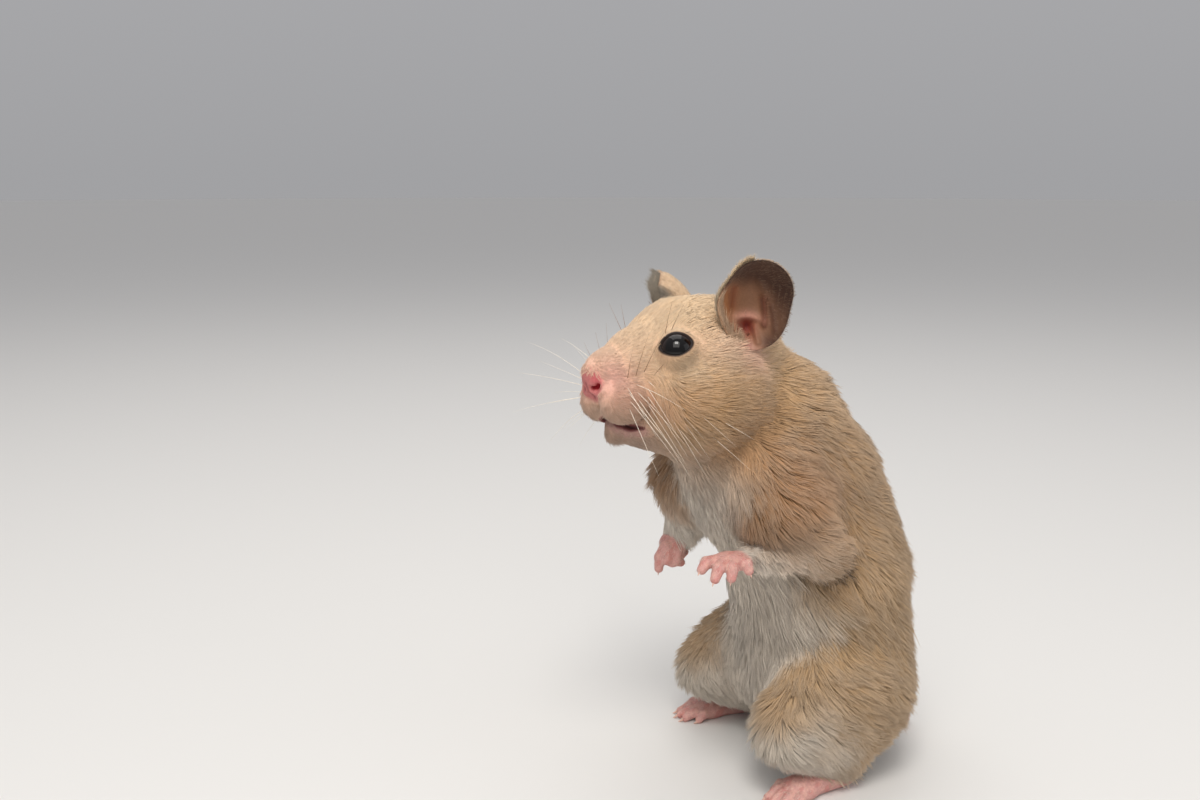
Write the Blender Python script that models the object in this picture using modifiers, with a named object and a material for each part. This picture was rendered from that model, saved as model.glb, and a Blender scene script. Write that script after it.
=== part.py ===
"""A life-size Syrian hamster that sits up on its haunches with both forepaws raised.

The body is modelled whole, as one smooth blend of ellipsoids and tapered limbs, and is then
parted with thin cuts into head, neck, trunk, legs and tail. Paws, feet, ears and eyes are
meshed finer, and sit in pockets a little wider than themselves. The animal faces -X, its left
side is towards -Y, and it rests on the plane Z = 0. Sizes are in millimetres, and the meshes
are made in metres.
"""

import math

import bmesh
import bpy
import numpy as np
from mathutils import Matrix, Vector

MM = 0.001

# ---- Driving dimensions -------------------------------------------------------------------

HEAD_PIVOT = np.array((-4.0, 0.0, 88.0))  # where the skull turns on the neck
HEAD_YAW = math.radians(8.0)  # the head looks a little to its left
HEAD_ROLL = math.radians(6.0)  # and tilts a little to its right
EYE_PLACE = (18.7, 9.0, 4.4)  # forward, outward and up from the pivot
EYE_RADIUS = 3.35
EAR_PLACES = {"left": (5.6, 15.8, 11.0), "right": (4.3, 14.8, 10.6)}  # of the ears' mouths
EAR_RISE = (0.12, 0.34, 0.93)  # the way the ear stands
EAR_MOUTH = (0.56, 0.74, -0.35)  # the way its mouth looks
EAR_HEIGHT = 18.6
EAR_WIDTH = 15.0
EAR_TOP_SPREAD = 0.2  # how much wider the ear is near its top
EAR_DEPTH = 4.6
EAR_THICK = 0.75
CUT = 0.36  # width of the cuts that part the body
CLEARANCE = 0.3  # gap round a piece that sits in a pocket
BODY_SHARE = 0.05  # share of the body's fine faces that is kept

SIDES = {"left": -1.0, "right": 1.0}  # the sign of Y on each side
SHOULDERS = {"left": (0.0, -16.5, 61.0), "right": (-6.3, 11.0, 61.5)}
SHOULDER_RADII = {"left": 8.0, "right": 7.8}
ELBOWS = {"left": (6.0, -19.0, 52.8), "right": (-0.5, 16.5, 55.5)}
WRISTS = {"left": (-9.5, -16.8, 51.7), "right": (-8.5, 12.0, 49.6)}
PALMS = {"left": (-12.3, -17.0, 51.5), "right": (-10.7, 11.6, 46.3)}
PALM_RADII = {"left": (3.2, 3.3, 1.9), "right": (2.9, 3.2, 2.6)}
# Each finger's root, knuckle and tip, from the centre of the palm.
FINGERS = {
    "left": (
        ((-1.9, 0.1, 0.4), (-5.2, -0.5, 0.6), (-6.6, -1.3, -0.4)),
        ((-1.5, -1.3, 0.3), (-4.0, -3.2, 0.1), (-5.1, -3.9, -1.6)),
        ((0.1, -1.8, 0.3), (-1.2, -3.6, 0.0), (-1.7, -4.1, -1.8)),
        ((1.4, -1.2, 0.1), (2.3, -2.6, 0.1), (2.5, -3.3, -1.1)),
    ),
    "right": (
        ((-2.2, -1.4, 0.1), (-3.6, -1.2, -2.2), (-3.8, -1.1, -4.8)),
        ((-1.9, -2.0, -0.7), (-2.5, -2.3, -2.5), (-1.1, -2.0, -3.6)),
        ((-0.3, -2.4, -1.1), (-0.5, -2.4, -3.0), (1.1, -1.8, -3.8)),
        ((1.5, 0.0, -1.7), (2.1, 0.8, -3.0), (3.3, 1.0, -2.6)),
    ),
}
FINGER_RADII = (1.4, 1.2, 0.95)
KNEES = {name: (1.0, side * 17.5, 13.5) for name, side in SIDES.items()}
HEELS = {name: (14.5, side * 18.5, 3.0) for name, side in SIDES.items()}
FOOT_SPLAY = math.radians(8.0)
# Each toe's place across the ball of the foot, from the inner to the outer, and its length.
TOES = ((-3.0, 3.4), (-1.7, 6.2), (0.0, 6.8), (1.7, 6.2), (3.2, 4.0))


# ---- Shapes that the body is blended from -------------------------------------------------


class Ball:
    """An ellipsoid. Its radii run along X, Y and Z, or along the columns of axes."""

    def __init__(self, centre, radii, blend, axes=None):
        self.centre = np.array(centre, float)
        self.radii = np.array(radii, float)
        self.blend = blend
        self.axes = np.eye(3) if axes is None else np.array(axes)

    def distance(self, points):
        local = (points - self.centre) @ self.axes
        scaled = np.linalg.norm(local / self.radii, axis=1)
        steepness = np.linalg.norm(local / self.radii**2, axis=1)
        return scaled * (scaled - 1.0) / np.maximum(steepness, 1e-9)

    def rough(self, mesh):
        turn = Matrix(self.axes.tolist()).to_4x4()
        size = Matrix.Diagonal((*self.radii, 1.0))
        place = Matrix.Translation(self.centre) @ turn @ size
        bmesh.ops.create_uvsphere(mesh, u_segments=24, v_segments=16, radius=1.0, matrix=place)


class Limb:
    """A tapered round bar with ball ends."""

    def __init__(self, start, end, start_radius, end_radius, blend):
        self.start = np.array(start, float)
        self.end = np.array(end, float)
        self.start_radius = start_radius
        self.end_radius = end_radius
        self.blend = blend

    def distance(self, points):
        along = self.end - self.start
        offset = points - self.start
        share = np.clip(offset @ along / (along @ along), 0.0, 1.0)
        radius = self.start_radius + (self.end_radius - self.start_radius) * share
        return np.linalg.norm(offset - share[:, None] * along, axis=1) - radius

    def rough(self, mesh):
        along = Vector(self.end - self.start)
        turn = along.to_track_quat("Z", "Y").to_matrix().to_4x4()
        middle = Matrix.Translation((self.start + self.end) / 2) @ turn
        bmesh.ops.create_cone(
            mesh,
            cap_ends=True,
            segments=20,
            radius1=self.start_radius,
            radius2=self.end_radius,
            depth=along.length,
            matrix=middle,
        )
        for centre, radius in ((self.start, self.start_radius), (self.end, self.end_radius)):
            place = Matrix.Translation(centre)
            bmesh.ops.create_uvsphere(mesh, u_segments=20, v_segments=12, radius=radius, matrix=place)


def smooth_join(a, b, blend):
    """The union of two distances, with a fillet about blend wide."""
    overlap = np.maximum(blend - np.abs(a - b), 0.0) / blend
    return np.minimum(a, b) - overlap**2 * blend / 4.0


def field(shapes, points):
    """Signed distance, in mm, to the blended surface of the shapes."""
    value = shapes[0].distance(points)
    for shape in shapes[1:]:
        value = smooth_join(value, shape.distance(points), shape.blend)
    return value


def slope(shapes, points, value, step=0.02):
    """How the field rises along X, Y and Z."""
    return np.stack(
        [(field(shapes, points + step * axis) - value) / step for axis in np.eye(3)], axis=1
    )


# ---- Placing things on the head -----------------------------------------------------------


def head_axes():
    """The head's forward, rightward and upward directions, as columns."""
    ahead = np.array((-math.cos(HEAD_YAW), -math.sin(HEAD_YAW), 0.0))
    level = np.array((-math.sin(HEAD_YAW), math.cos(HEAD_YAW), 0.0))
    upright = np.array((0.0, 0.0, 1.0))
    right = math.cos(HEAD_ROLL) * level - math.sin(HEAD_ROLL) * upright
    up = math.cos(HEAD_ROLL) * upright + math.sin(HEAD_ROLL) * level
    return np.stack((ahead, right, up), axis=1)


HEAD_AXES = head_axes()


def head_vector(forward, outward, up, side=0.0):
    """A direction given in the head's own terms. Outward runs out to the given side."""
    return HEAD_AXES @ (forward, side * outward, up)


def head_point(forward, outward, up, side=0.0):
    """A point given in the head's own terms, from its pivot."""
    return HEAD_PIVOT + head_vector(forward, outward, up, side)


# ---- The body's shapes --------------------------------------------------------------------


def head_shapes():
    shapes = [
        Ball(head_point(7.5, 0, 1.5), (16.5, 13.0, 12.6), 4, HEAD_AXES),
        Limb(head_point(15, 0, 0.8), head_point(28.2, 0, -0.4), 10.6, 5.3, 5),
        Ball(head_point(23.5, 0, 2.2), (5.0, 4.5, 5.0), 3, HEAD_AXES),
        Ball(head_point(31.3, 0, -1.0), (2.4, 2.9, 2.9), 2.5, HEAD_AXES),
        Limb(head_point(27.4, 0, -11.6), head_point(14, 0, -10.6), 2.7, 9.0, 3),
    ]
    for side in SIDES.values():
        shapes.append(Ball(head_point(27.6, 3.6, -5.4, side), (5.2, 4.0, 4.8), 2, HEAD_AXES))
        shapes.append(Ball(head_point(11, 7.4, -5.5, side), (12.5, 8.8, 10.6), 5, HEAD_AXES))
    return shapes


def trunk_shapes():
    lean = Matrix.Rotation(math.radians(-25), 3, "Y")
    return [
        Ball((20.7, 0, 22), (19.0, 22.5, 23.0), 8),
        Ball((17.9, 0, 42), (19.8, 22.0, 23.0), 8),
        Ball((10.7, 0, 60), (20.4, 18.5, 22.0), 8, lean),
        Ball((5.0, 0, 75), (13.5, 14.5, 14.0), 8),
        Limb((1.5, 0, 77), head_point(2, 0, -2), 13.6, 12.6, 8),
        Limb((0.0, 0, 66), head_point(9, 0, -9), 14.0, 10.0, 8),
    ]


def foreleg_shapes(name):
    side = SIDES[name]
    lean = Matrix.Rotation(math.radians(-20), 3, "Y")
    return [
        Ball((0.5, side * 13.5, 63), (10.5, 8.5, 13.0), 6, lean),
        Limb(SHOULDERS[name], ELBOWS[name], SHOULDER_RADII[name], 5.8, 5),
        Limb(ELBOWS[name], WRISTS[name], 5.4, 2.5, 3),
    ]


def forepaw_shapes(name):
    """The palm and four fingers, each bent at one knuckle."""
    palm = np.array(PALMS[name])
    shapes = [Ball(palm, PALM_RADII[name], 1.5)]
    thick, middle, thin = FINGER_RADII
    for root, knuckle, tip in FINGERS[name]:
        shapes.append(Limb(palm + root, palm + knuckle, thick, middle, 0.7))
        shapes.append(Limb(palm + knuckle, palm + tip, middle, thin, 0.3))
    return shapes


def far_arm_shapes():
    """The right forearm hangs straight down from the chest."""
    return [Limb(SHOULDERS["right"], WRISTS["right"], SHOULDER_RADII["right"], 3.3, 5)]


def hindleg_shapes(name):
    side = SIDES[name]
    return [
        Ball((12.0, side * 16.8, 16.0), (15.5, 9.5, 12.0), 6),
        Limb(KNEES[name], (13.0, side * 18.5, 6.5), 6.3, 4.4, 4),
    ]


def hindfoot_shapes(name):
    """A long flat foot with five toes."""
    side = SIDES[name]
    heel = np.array(HEELS[name])
    ahead = np.array((-math.cos(FOOT_SPLAY), side * math.sin(FOOT_SPLAY), 0.0))
    outward = np.array((math.sin(FOOT_SPLAY), side * math.cos(FOOT_SPLAY), 0.0))
    ball = heel + 11.5 * ahead - (0, 0, 1.1)
    turn = Matrix.Rotation(-side * FOOT_SPLAY, 3, "Z")
    shapes = [Limb(heel, ball, 3.2, 2.3, 2), Ball(ball, (3.6, 3.5, 2.2), 2, turn)]
    for place, reach in TOES:
        root = ball + place * 0.8 * outward + 0.8 * ahead
        bend = ball + place * 1.05 * outward + reach * 0.6 * ahead
        tip = ball + place * 1.2 * outward + reach * ahead - (0, 0, 1.1)
        shapes.append(Limb(root, bend, 1.25, 1.1, 0.6))
        shapes.append(Limb(bend, tip, 1.1, 0.85, 0.4))
    return shapes


def tail_shapes():
    return [Limb((33.0, 0, 8.0), (42.5, 0, 2.0), 4.5, 2.2, 3)]


def body_shapes():
    shapes = trunk_shapes() + head_shapes()
    for name in SIDES:
        shapes += foreleg_shapes(name) + hindleg_shapes(name)
    return shapes + far_arm_shapes() + tail_shapes()


# ---- Mesh making --------------------------------------------------------------------------


def new_object(name, mesh):
    obj = bpy.data.objects.new(name, mesh)
    bpy.context.scene.collection.objects.link(obj)
    return obj


def from_bmesh(name, made):
    mesh = bpy.data.meshes.new(name)
    made.to_mesh(mesh)
    made.free()
    return new_object(name, mesh)


def modified(obj, kind, **settings):
    """Adds one modifier and applies it."""
    modifier = obj.modifiers.new(kind.lower(), kind)
    for key, value in settings.items():
        setattr(modifier, key, value)
    graph = bpy.context.evaluated_depsgraph_get()
    mesh = bpy.data.meshes.new_from_object(obj.evaluated_get(graph))
    obj.modifiers.clear()
    old, obj.data = obj.data, mesh
    bpy.data.meshes.remove(old)


def settle(obj, shapes, offset=0.0, rounds=6):
    """Moves each vertex of a rough mesh onto the blended surface, and evens out the mesh."""
    count = len(obj.data.vertices)
    points = np.empty(count * 3)
    obj.data.vertices.foreach_get("co", points)
    points = points.reshape(-1, 3) / MM
    edges = np.empty(len(obj.data.edges) * 2, int)
    obj.data.edges.foreach_get("vertices", edges)
    edges = edges.reshape(-1, 2)
    links = np.bincount(edges.ravel(), minlength=count)
    for turn in range(rounds):
        if turn and turn < rounds - 2:
            middle = np.zeros_like(points)
            for axis in range(3):
                middle[:, axis] = np.bincount(
                    edges[:, 0], points[edges[:, 1], axis], count
                ) + np.bincount(edges[:, 1], points[edges[:, 0], axis], count)
            points += 0.5 * (middle / links[:, None] - points)
        value = field(shapes, points)
        rise = slope(shapes, points, value)
        steep = np.maximum(np.sum(rise**2, axis=1), 0.2)
        points -= np.clip((value - offset) / steep, -2.0, 2.0)[:, None] * rise
    obj.data.vertices.foreach_set("co", (points * MM).ravel())
    obj.data.update()


def blended(name, shapes, voxel, share, offset=0.0):
    """One closed mesh of the blended shapes, grown by offset, with that share of faces kept."""
    rough = bmesh.new()
    for shape in shapes:
        shape.rough(rough)
    bmesh.ops.scale(rough, vec=(MM, MM, MM), verts=rough.verts)
    obj = from_bmesh(name, rough)
    modified(obj, "REMESH", mode="VOXEL", voxel_size=voxel * MM)
    settle(obj, shapes, offset)
    modified(obj, "DECIMATE", ratio=share)
    return obj


def ear(name, side_name, grown=0.0):
    """A thin round cup with a rounded rim. Its mouth looks out and forward."""
    side = SIDES[side_name]
    centre = head_point(*EAR_PLACES[side_name], side)
    rise = head_vector(*EAR_RISE, side)
    rise /= np.linalg.norm(rise)
    mouth = head_vector(*EAR_MOUTH, side)
    mouth -= (mouth @ rise) * rise
    mouth /= np.linalg.norm(mouth)
    back = side * np.cross(rise, mouth)
    made = bmesh.new()
    bmesh.ops.create_uvsphere(made, u_segments=24, v_segments=10, radius=1.0)
    for vertex in made.verts:
        across, along, through = vertex.co
        bulge = math.copysign(abs(through) ** 0.4, through)
        across *= 1.0 + grown / (EAR_WIDTH / 2)
        along *= 1.0 + grown / (EAR_HEIGHT / 2)
        cup = EAR_DEPTH * (across**2 + along**2 - 1.0)
        out = cup + bulge * (EAR_THICK / 2 + 1.5 * grown)
        width = EAR_WIDTH / 2 * (1.0 + EAR_TOP_SPREAD * along)
        place = centre + across * width * back + along * EAR_HEIGHT / 2 * rise + out * mouth
        vertex.co = place * MM
    if made.calc_volume(signed=True) < 0:
        bmesh.ops.reverse_faces(made, faces=made.faces)
    return from_bmesh(name, made)


def ball(name, centre, radii):
    made = bmesh.new()
    place = Matrix.Translation(np.array(centre) * MM) @ Matrix.Diagonal((*radii, 1.0))
    bmesh.ops.create_uvsphere(made, u_segments=20, v_segments=12, radius=MM, matrix=place)
    return from_bmesh(name, made)


def disc(name, centre, normal, radius):
    """A round plate as thick as a cut."""
    turn = Vector(normal).to_track_quat("Z", "Y").to_matrix().to_4x4()
    place = Matrix.Translation(np.array(centre) * MM) @ turn
    made = bmesh.new()
    bmesh.ops.create_cone(
        made,
        cap_ends=True,
        segments=48,
        radius1=radius * MM,
        radius2=radius * MM,
        depth=CUT * MM,
        matrix=place,
    )
    return from_bmesh(name, made)


def floor_block():
    """All that would reach below the floor."""
    made = bmesh.new()
    size = Matrix.Diagonal((0.2, 0.2, 0.02, 1.0))
    bmesh.ops.create_cube(made, size=1.0, matrix=Matrix.Translation((0.0, 0.0, -0.01)) @ size)
    return from_bmesh("cut_floor", made)


# ---- Parting the body ---------------------------------------------------------------------

# A point in the middle of each piece that the flat cuts leave.
MIDDLES = {
    "head": (-18.0, -2.0, 84.0),
    "neck": (-2.0, 0.0, 80.0),
    "trunk": (12.0, 0.0, 44.0),
    "tail": (41.0, 0.0, 4.0),
}
# The ball that parts each leg from the trunk: its centre and its radii.
LEG_BALLS = {
    "foreleg": ((-3.0, 25.0, 56.0), (18.0, 18.0, 17.5)),
    "hindleg": ((9.0, 27.0, 17.0), (20.0, 14.0, 16.0)),
}


def carved(obj, cutter, operation):
    modified(obj, "BOOLEAN", object=cutter, operation=operation, solver="EXACT")


def flat_cutters():
    return [
        disc("cut_head", (-6.0, 0, 84.0), (0.855, 0, -0.52), 26),
        disc("cut_neck", (-2.5, 0, 74.5), (0.655, 0, -0.756), 28),
        disc("cut_tail", (38.6, 0, 5.0), (0.845, 0, -0.534), 6),
    ]


def pocket_cutters():
    """What leaves room for the eyes, ears, paws and feet."""
    cutters = []
    for name, side in SIDES.items():
        socket = [EYE_RADIUS + CLEARANCE] * 3
        cutters.append(ball("socket_" + name, head_point(*EYE_PLACE, side), socket))
        cutters.append(ear("ear_pocket_" + name, name, CLEARANCE))
        for kind, shapes in (("forepaw", forepaw_shapes), ("hindfoot", hindfoot_shapes)):
            pocket = f"{kind}_pocket_{name}"
            cutters.append(blended(pocket, shapes(name), 0.5, 0.1, CLEARANCE + 0.05))
    return cutters


def loose_parts(mesh):
    """The vertices of each connected part of a mesh, the largest part first."""
    waiting = set(mesh.verts)
    parts = []
    while waiting:
        found = [waiting.pop()]
        for vertex in found:
            for link in vertex.link_edges:
                other = link.other_vert(vertex)
                if other in waiting:
                    waiting.discard(other)
                    found.append(other)
        parts.append(found)
    return sorted(parts, key=len, reverse=True)


def keep_only(obj, name, keep):
    """A copy of the object with only the vertices whose numbers are in keep."""
    piece = bmesh.new()
    piece.from_mesh(obj.data)
    gone = [vertex for vertex in piece.verts if vertex.index not in keep]
    bmesh.ops.delete(piece, geom=gone, context="VERTS")
    return from_bmesh(name, piece)


def split_body(body):
    """The pieces that the flat cuts leave, by name."""
    whole = bmesh.new()
    whole.from_mesh(body.data)
    kept = {}
    for part in loose_parts(whole):
        low = np.min([vertex.co / MM for vertex in part], axis=0)
        high = np.max([vertex.co / MM for vertex in part], axis=0)
        middle = (low + high) / 2
        name = min(MIDDLES, key=lambda key: np.linalg.norm(middle - MIDDLES[key]))
        kept.setdefault(name, {vertex.index for vertex in part})
    whole.free()
    return {name: keep_only(body, name, keep) for name, keep in kept.items()}


def largest_part(obj, name):
    whole = bmesh.new()
    whole.from_mesh(obj.data)
    parts = loose_parts(whole)
    keep = {vertex.index for vertex in parts[0]}
    whole.free()
    piece = keep_only(obj, "piece", keep)
    bpy.data.objects.remove(obj, do_unlink=True)
    piece.name = name
    return piece


def part_legs(trunk):
    """Takes the four legs off the trunk, each within its own ball."""
    legs = []
    for kind, (centre, radii) in LEG_BALLS.items():
        for name, side in SIDES.items():
            place = (centre[0], side * centre[1], centre[2])
            inner = ball("inner", place, [radius - CUT / 2 for radius in radii])
            outer = ball("outer", place, [radius + CUT / 2 for radius in radii])
            leg = new_object("leg", trunk.data.copy())
            carved(leg, inner, "INTERSECT")
            carved(trunk, outer, "DIFFERENCE")
            legs.append(largest_part(leg, f"{kind}_{name}"))
            bpy.data.objects.remove(inner, do_unlink=True)
            bpy.data.objects.remove(outer, do_unlink=True)
    return legs


# ---- Finish -------------------------------------------------------------------------------

CREAM = (0.66, 0.49, 0.32)
PINK = (0.67, 0.30, 0.26)
# Colour and roughness of each piece, by the first word of its name.
LOOKS = {
    "head": (CREAM, 0.9),
    "neck": ((0.52, 0.37, 0.23), 0.9),
    "trunk": ((0.50, 0.38, 0.27), 0.9),
    "foreleg": ((0.60, 0.48, 0.36), 0.9),
    "hindleg": ((0.50, 0.38, 0.27), 0.9),
    "tail": (PINK, 0.7),
    "ear": ((0.30, 0.20, 0.15), 0.8),
    "eye": ((0.006, 0.004, 0.004), 0.08),
    "forepaw": (PINK, 0.6),
    "hindfoot": (PINK, 0.6),
}


def finish(obj):
    """Its own material, and even shading."""
    colour, roughness = LOOKS[obj.name.split("_")[0]]
    material = bpy.data.materials.new(obj.name)
    material.use_nodes = True
    shader = material.node_tree.nodes["Principled BSDF"]
    shader.inputs["Base Color"].default_value = (*colour, 1.0)
    shader.inputs["Roughness"].default_value = roughness
    obj.data.materials.clear()
    obj.data.materials.append(material)
    obj.data.polygons.foreach_set("use_smooth", [obj.name.startswith("eye")] * len(obj.data.polygons))


def centre_on_floor(objects):
    """Moves the middle of the whole to X = Y = 0, with its lowest point at Z = 0."""
    corners = np.array([vertex.co for obj in objects for vertex in obj.data.vertices])
    low, high = corners.min(axis=0), corners.max(axis=0)
    move = Matrix.Translation((-(low[0] + high[0]) / 2, -(low[1] + high[1]) / 2, -low[2]))
    for obj in objects:
        obj.data.transform(move)


def main():
    for obj in list(bpy.data.objects):
        bpy.data.objects.remove(obj, do_unlink=True)
    block = floor_block()
    cutters = flat_cutters() + pocket_cutters() + [block]
    body = blended("body", body_shapes(), 1.0, BODY_SHARE)
    for cutter in cutters:
        carved(body, cutter, "DIFFERENCE")
    pieces = split_body(body)
    bpy.data.objects.remove(body, do_unlink=True)
    part_legs(pieces["trunk"])
    largest_part(pieces["trunk"], "trunk")
    for name, side in SIDES.items():
        ear("ear_" + name, name)
        ball("eye_" + name, head_point(*EYE_PLACE, side), [EYE_RADIUS] * 3)
        blended("forepaw_" + name, forepaw_shapes(name), 0.35, 0.12)
        foot = blended("hindfoot_" + name, hindfoot_shapes(name), 0.4, 0.07)
        carved(foot, block, "DIFFERENCE")
    for cutter in cutters:
        bpy.data.objects.remove(cutter, do_unlink=True)
    hamster = bpy.data.collections.new("syrian_hamster")
    bpy.context.scene.collection.children.link(hamster)
    objects = sorted(bpy.data.objects, key=lambda obj: obj.name)
    for obj in objects:
        finish(obj)
        bpy.context.scene.collection.objects.unlink(obj)
        hamster.objects.link(obj)
    centre_on_floor(objects)


main()
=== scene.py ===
"""A life-size Syrian hamster that sits up on its haunches: one skin over the whole animal, with
eyes, claws, whiskers and a coat of fine mesh tufts. Sizes are in millimetres until a mesh is made."""

import math

import bmesh
import bpy
import numpy as np
from mathutils import Matrix, Vector, kdtree


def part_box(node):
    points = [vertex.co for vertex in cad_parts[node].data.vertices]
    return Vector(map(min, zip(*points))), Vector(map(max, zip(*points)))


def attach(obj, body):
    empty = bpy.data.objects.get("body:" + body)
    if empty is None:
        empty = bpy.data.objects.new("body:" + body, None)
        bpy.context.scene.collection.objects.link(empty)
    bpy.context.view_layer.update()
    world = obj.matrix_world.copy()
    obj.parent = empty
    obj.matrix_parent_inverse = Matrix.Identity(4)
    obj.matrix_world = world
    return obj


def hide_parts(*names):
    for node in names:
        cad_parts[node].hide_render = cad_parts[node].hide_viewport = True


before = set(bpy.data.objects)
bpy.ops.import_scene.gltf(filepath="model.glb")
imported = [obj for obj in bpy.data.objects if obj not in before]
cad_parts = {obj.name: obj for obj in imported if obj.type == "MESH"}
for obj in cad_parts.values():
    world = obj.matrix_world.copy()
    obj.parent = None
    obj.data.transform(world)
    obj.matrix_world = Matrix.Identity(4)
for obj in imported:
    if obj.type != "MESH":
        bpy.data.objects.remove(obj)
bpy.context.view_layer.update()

MM = 0.001
RNG = np.random.default_rng(7)
COAT_SPREAD = 2.8  # how widely the coats of neighbouring shapes blend
SLOPE_GAP = 0.02  # a small step, for measuring slopes
ROUGH_VOXEL = 0.5  # the first mesh of the skin is this fine
CLUMP = 14  # tufts to a clump
ROOT_DEPTH = 0.12  # the tufts start this far under the skin
WAIST = 0.42  # and are thickest at this share of their length
FLOOR_RADIUS = 6.0  # metres

# ---- The part's driving dimensions, in the axes of its source

HEAD_PIVOT = np.array((-4.0, 0.0, 88.0))
HEAD_YAW = math.radians(8.0)
HEAD_ROLL = math.radians(6.0)
EYE_PLACE = (18.7, 9.0, 4.4)  # forward, outward and up from the pivot
EYE_RADIUS = 3.35
EYE_ROOM = EYE_RADIUS + 0.25  # the skin keeps this far from the eye's centre
EYE_DROP = 0.80  # the lids hold the eyes this far below the solids' plain balls
EYE_LOOK = (0.50, 0.80, 0.30)  # the way the eye looks
EAR_PLACES = {"left": (5.6, 15.8, 11.0), "right": (4.3, 14.8, 10.6)}
EAR_RISE = (0.12, 0.34, 0.93)
EAR_MOUTH = (0.56, 0.74, -0.35)
EAR_HEIGHT = 18.6
EAR_WIDTH = 15.0
EAR_TOP_SPREAD = 0.2
EAR_DEPTH = 4.6
EAR_THICK = 0.7
SIDES = {"left": -1.0, "right": 1.0}
SHOULDERS = {"left": (0.0, -16.5, 61.0), "right": (-6.3, 11.0, 61.5)}
SHOULDER_RADII = {"left": 8.0, "right": 7.8}
ELBOWS = {"left": (6.0, -19.0, 52.8), "right": (-0.5, 16.5, 55.5)}
WRISTS = {"left": (-9.5, -16.8, 51.7), "right": (-8.5, 12.0, 49.6)}
PALMS = {"left": (-12.3, -17.0, 51.5), "right": (-10.7, 11.6, 46.3)}
PALM_RADII = {"left": (3.2, 3.3, 1.9), "right": (2.9, 3.2, 2.6)}
FINGERS = {
    "left": (
        ((-1.9, 0.1, 0.4), (-5.2, -0.5, 0.6), (-6.6, -1.3, -0.4)),
        ((-1.5, -1.3, 0.3), (-4.0, -3.2, 0.1), (-5.1, -3.9, -1.6)),
        ((0.1, -1.8, 0.3), (-1.2, -3.6, 0.0), (-1.7, -4.1, -1.8)),
        ((1.4, -1.2, 0.1), (2.3, -2.6, 0.1), (2.5, -3.3, -1.1)),
    ),
    "right": (
        ((-2.2, -1.4, 0.1), (-3.6, -1.2, -2.2), (-3.8, -1.1, -4.8)),
        ((-1.9, -2.0, -0.7), (-2.5, -2.3, -2.5), (-1.1, -2.0, -3.6)),
        ((-0.3, -2.4, -1.1), (-0.5, -2.4, -3.0), (1.1, -1.8, -3.8)),
        ((1.5, 0.0, -1.7), (2.1, 0.8, -3.0), (3.3, 1.0, -2.6)),
    ),
}
FINGER_RADII = (1.4, 1.2, 0.95)
KNEES = {name: (1.0, side * 17.5, 13.5) for name, side in SIDES.items()}
HEELS = {name: (14.5, side * 18.5, 3.0) for name, side in SIDES.items()}
FOOT_SPLAY = math.radians(8.0)
TOES = ((-3.0, 3.4), (-1.7, 6.2), (0.0, 6.8), (1.7, 6.2), (3.2, 4.0))


# ---- Small helpers


def unit(vectors):
    vectors = np.asarray(vectors, float)
    return vectors / np.maximum(np.linalg.norm(vectors, axis=-1, keepdims=True), 1e-9)


def step(values, low, high):
    """0 below low, 1 above high, and a smooth rise between them."""
    share = np.clip((np.asarray(values, float) - low) / (high - low), 0.0, 1.0)
    return share * share * (3.0 - 2.0 * share)


def srgb(*levels):
    """A colour given from 0 to 255 as the screen shows it, as linear light."""
    share = np.array(levels, float) / 255.0
    return np.where(share <= 0.04045, share / 12.92, ((share + 0.055) / 1.055) ** 2.4)


def mixed(first, second, share):
    """Rows of first turned towards second by share."""
    share = np.asarray(share, float)[..., None]
    return first * (1.0 - share) + np.asarray(second) * share


def bell(values, size):
    """1 at 0, and fading to 0 over a few times size."""
    return np.exp(-((values / size) ** 2))


def far(points, place):
    """How far the points are from a place."""
    return np.linalg.norm(points - place, axis=1)


def flat(vectors, normals):
    """The vectors without their share along the normals."""
    return vectors - np.sum(vectors * normals, axis=1, keepdims=True) * normals


def circle(count):
    """Angles all the way round."""
    return np.linspace(0.0, 2 * math.pi, count, endpoint=False)


def sphere(polar, turn):
    """Rows of unit vectors: one row for each angle from the pole, and round by turn."""
    level, rise = np.sin(polar)[:, None], np.cos(polar)[:, None]
    return np.stack((level * np.cos(turn), level * np.sin(turn), rise + 0 * turn), axis=-1)


def head_axes():
    """The head's forward, rightward and upward directions, as columns."""
    c, s = math.cos(HEAD_YAW), math.sin(HEAD_YAW)
    ahead, level, upright = np.array((-c, -s, 0.0)), np.array((-s, c, 0.0)), np.array((0.0, 0.0, 1.0))
    right = math.cos(HEAD_ROLL) * level - math.sin(HEAD_ROLL) * upright
    up = math.cos(HEAD_ROLL) * upright + math.sin(HEAD_ROLL) * level
    return np.stack((ahead, right, up), axis=1)


HEAD_AXES = head_axes()


def head_vector(forward, outward, up, side=0.0):
    return HEAD_AXES @ (forward, side * outward, up)


def head_point(forward, outward, up, side=0.0):
    return HEAD_PIVOT + head_vector(forward, outward, up, side)


def head_local(points):
    """Forward, rightward and upward from the pivot."""
    return (points - HEAD_PIVOT) @ HEAD_AXES


# ---- The body's shapes, and what grows on them


class Coat:
    """Depth of the coat over the skin, length of its hair, its lie and its colour."""

    def __init__(self, depth, hair, lie, colour):
        self.traits = np.array((depth, hair, *unit(lie), *srgb(*colour)))


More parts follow.
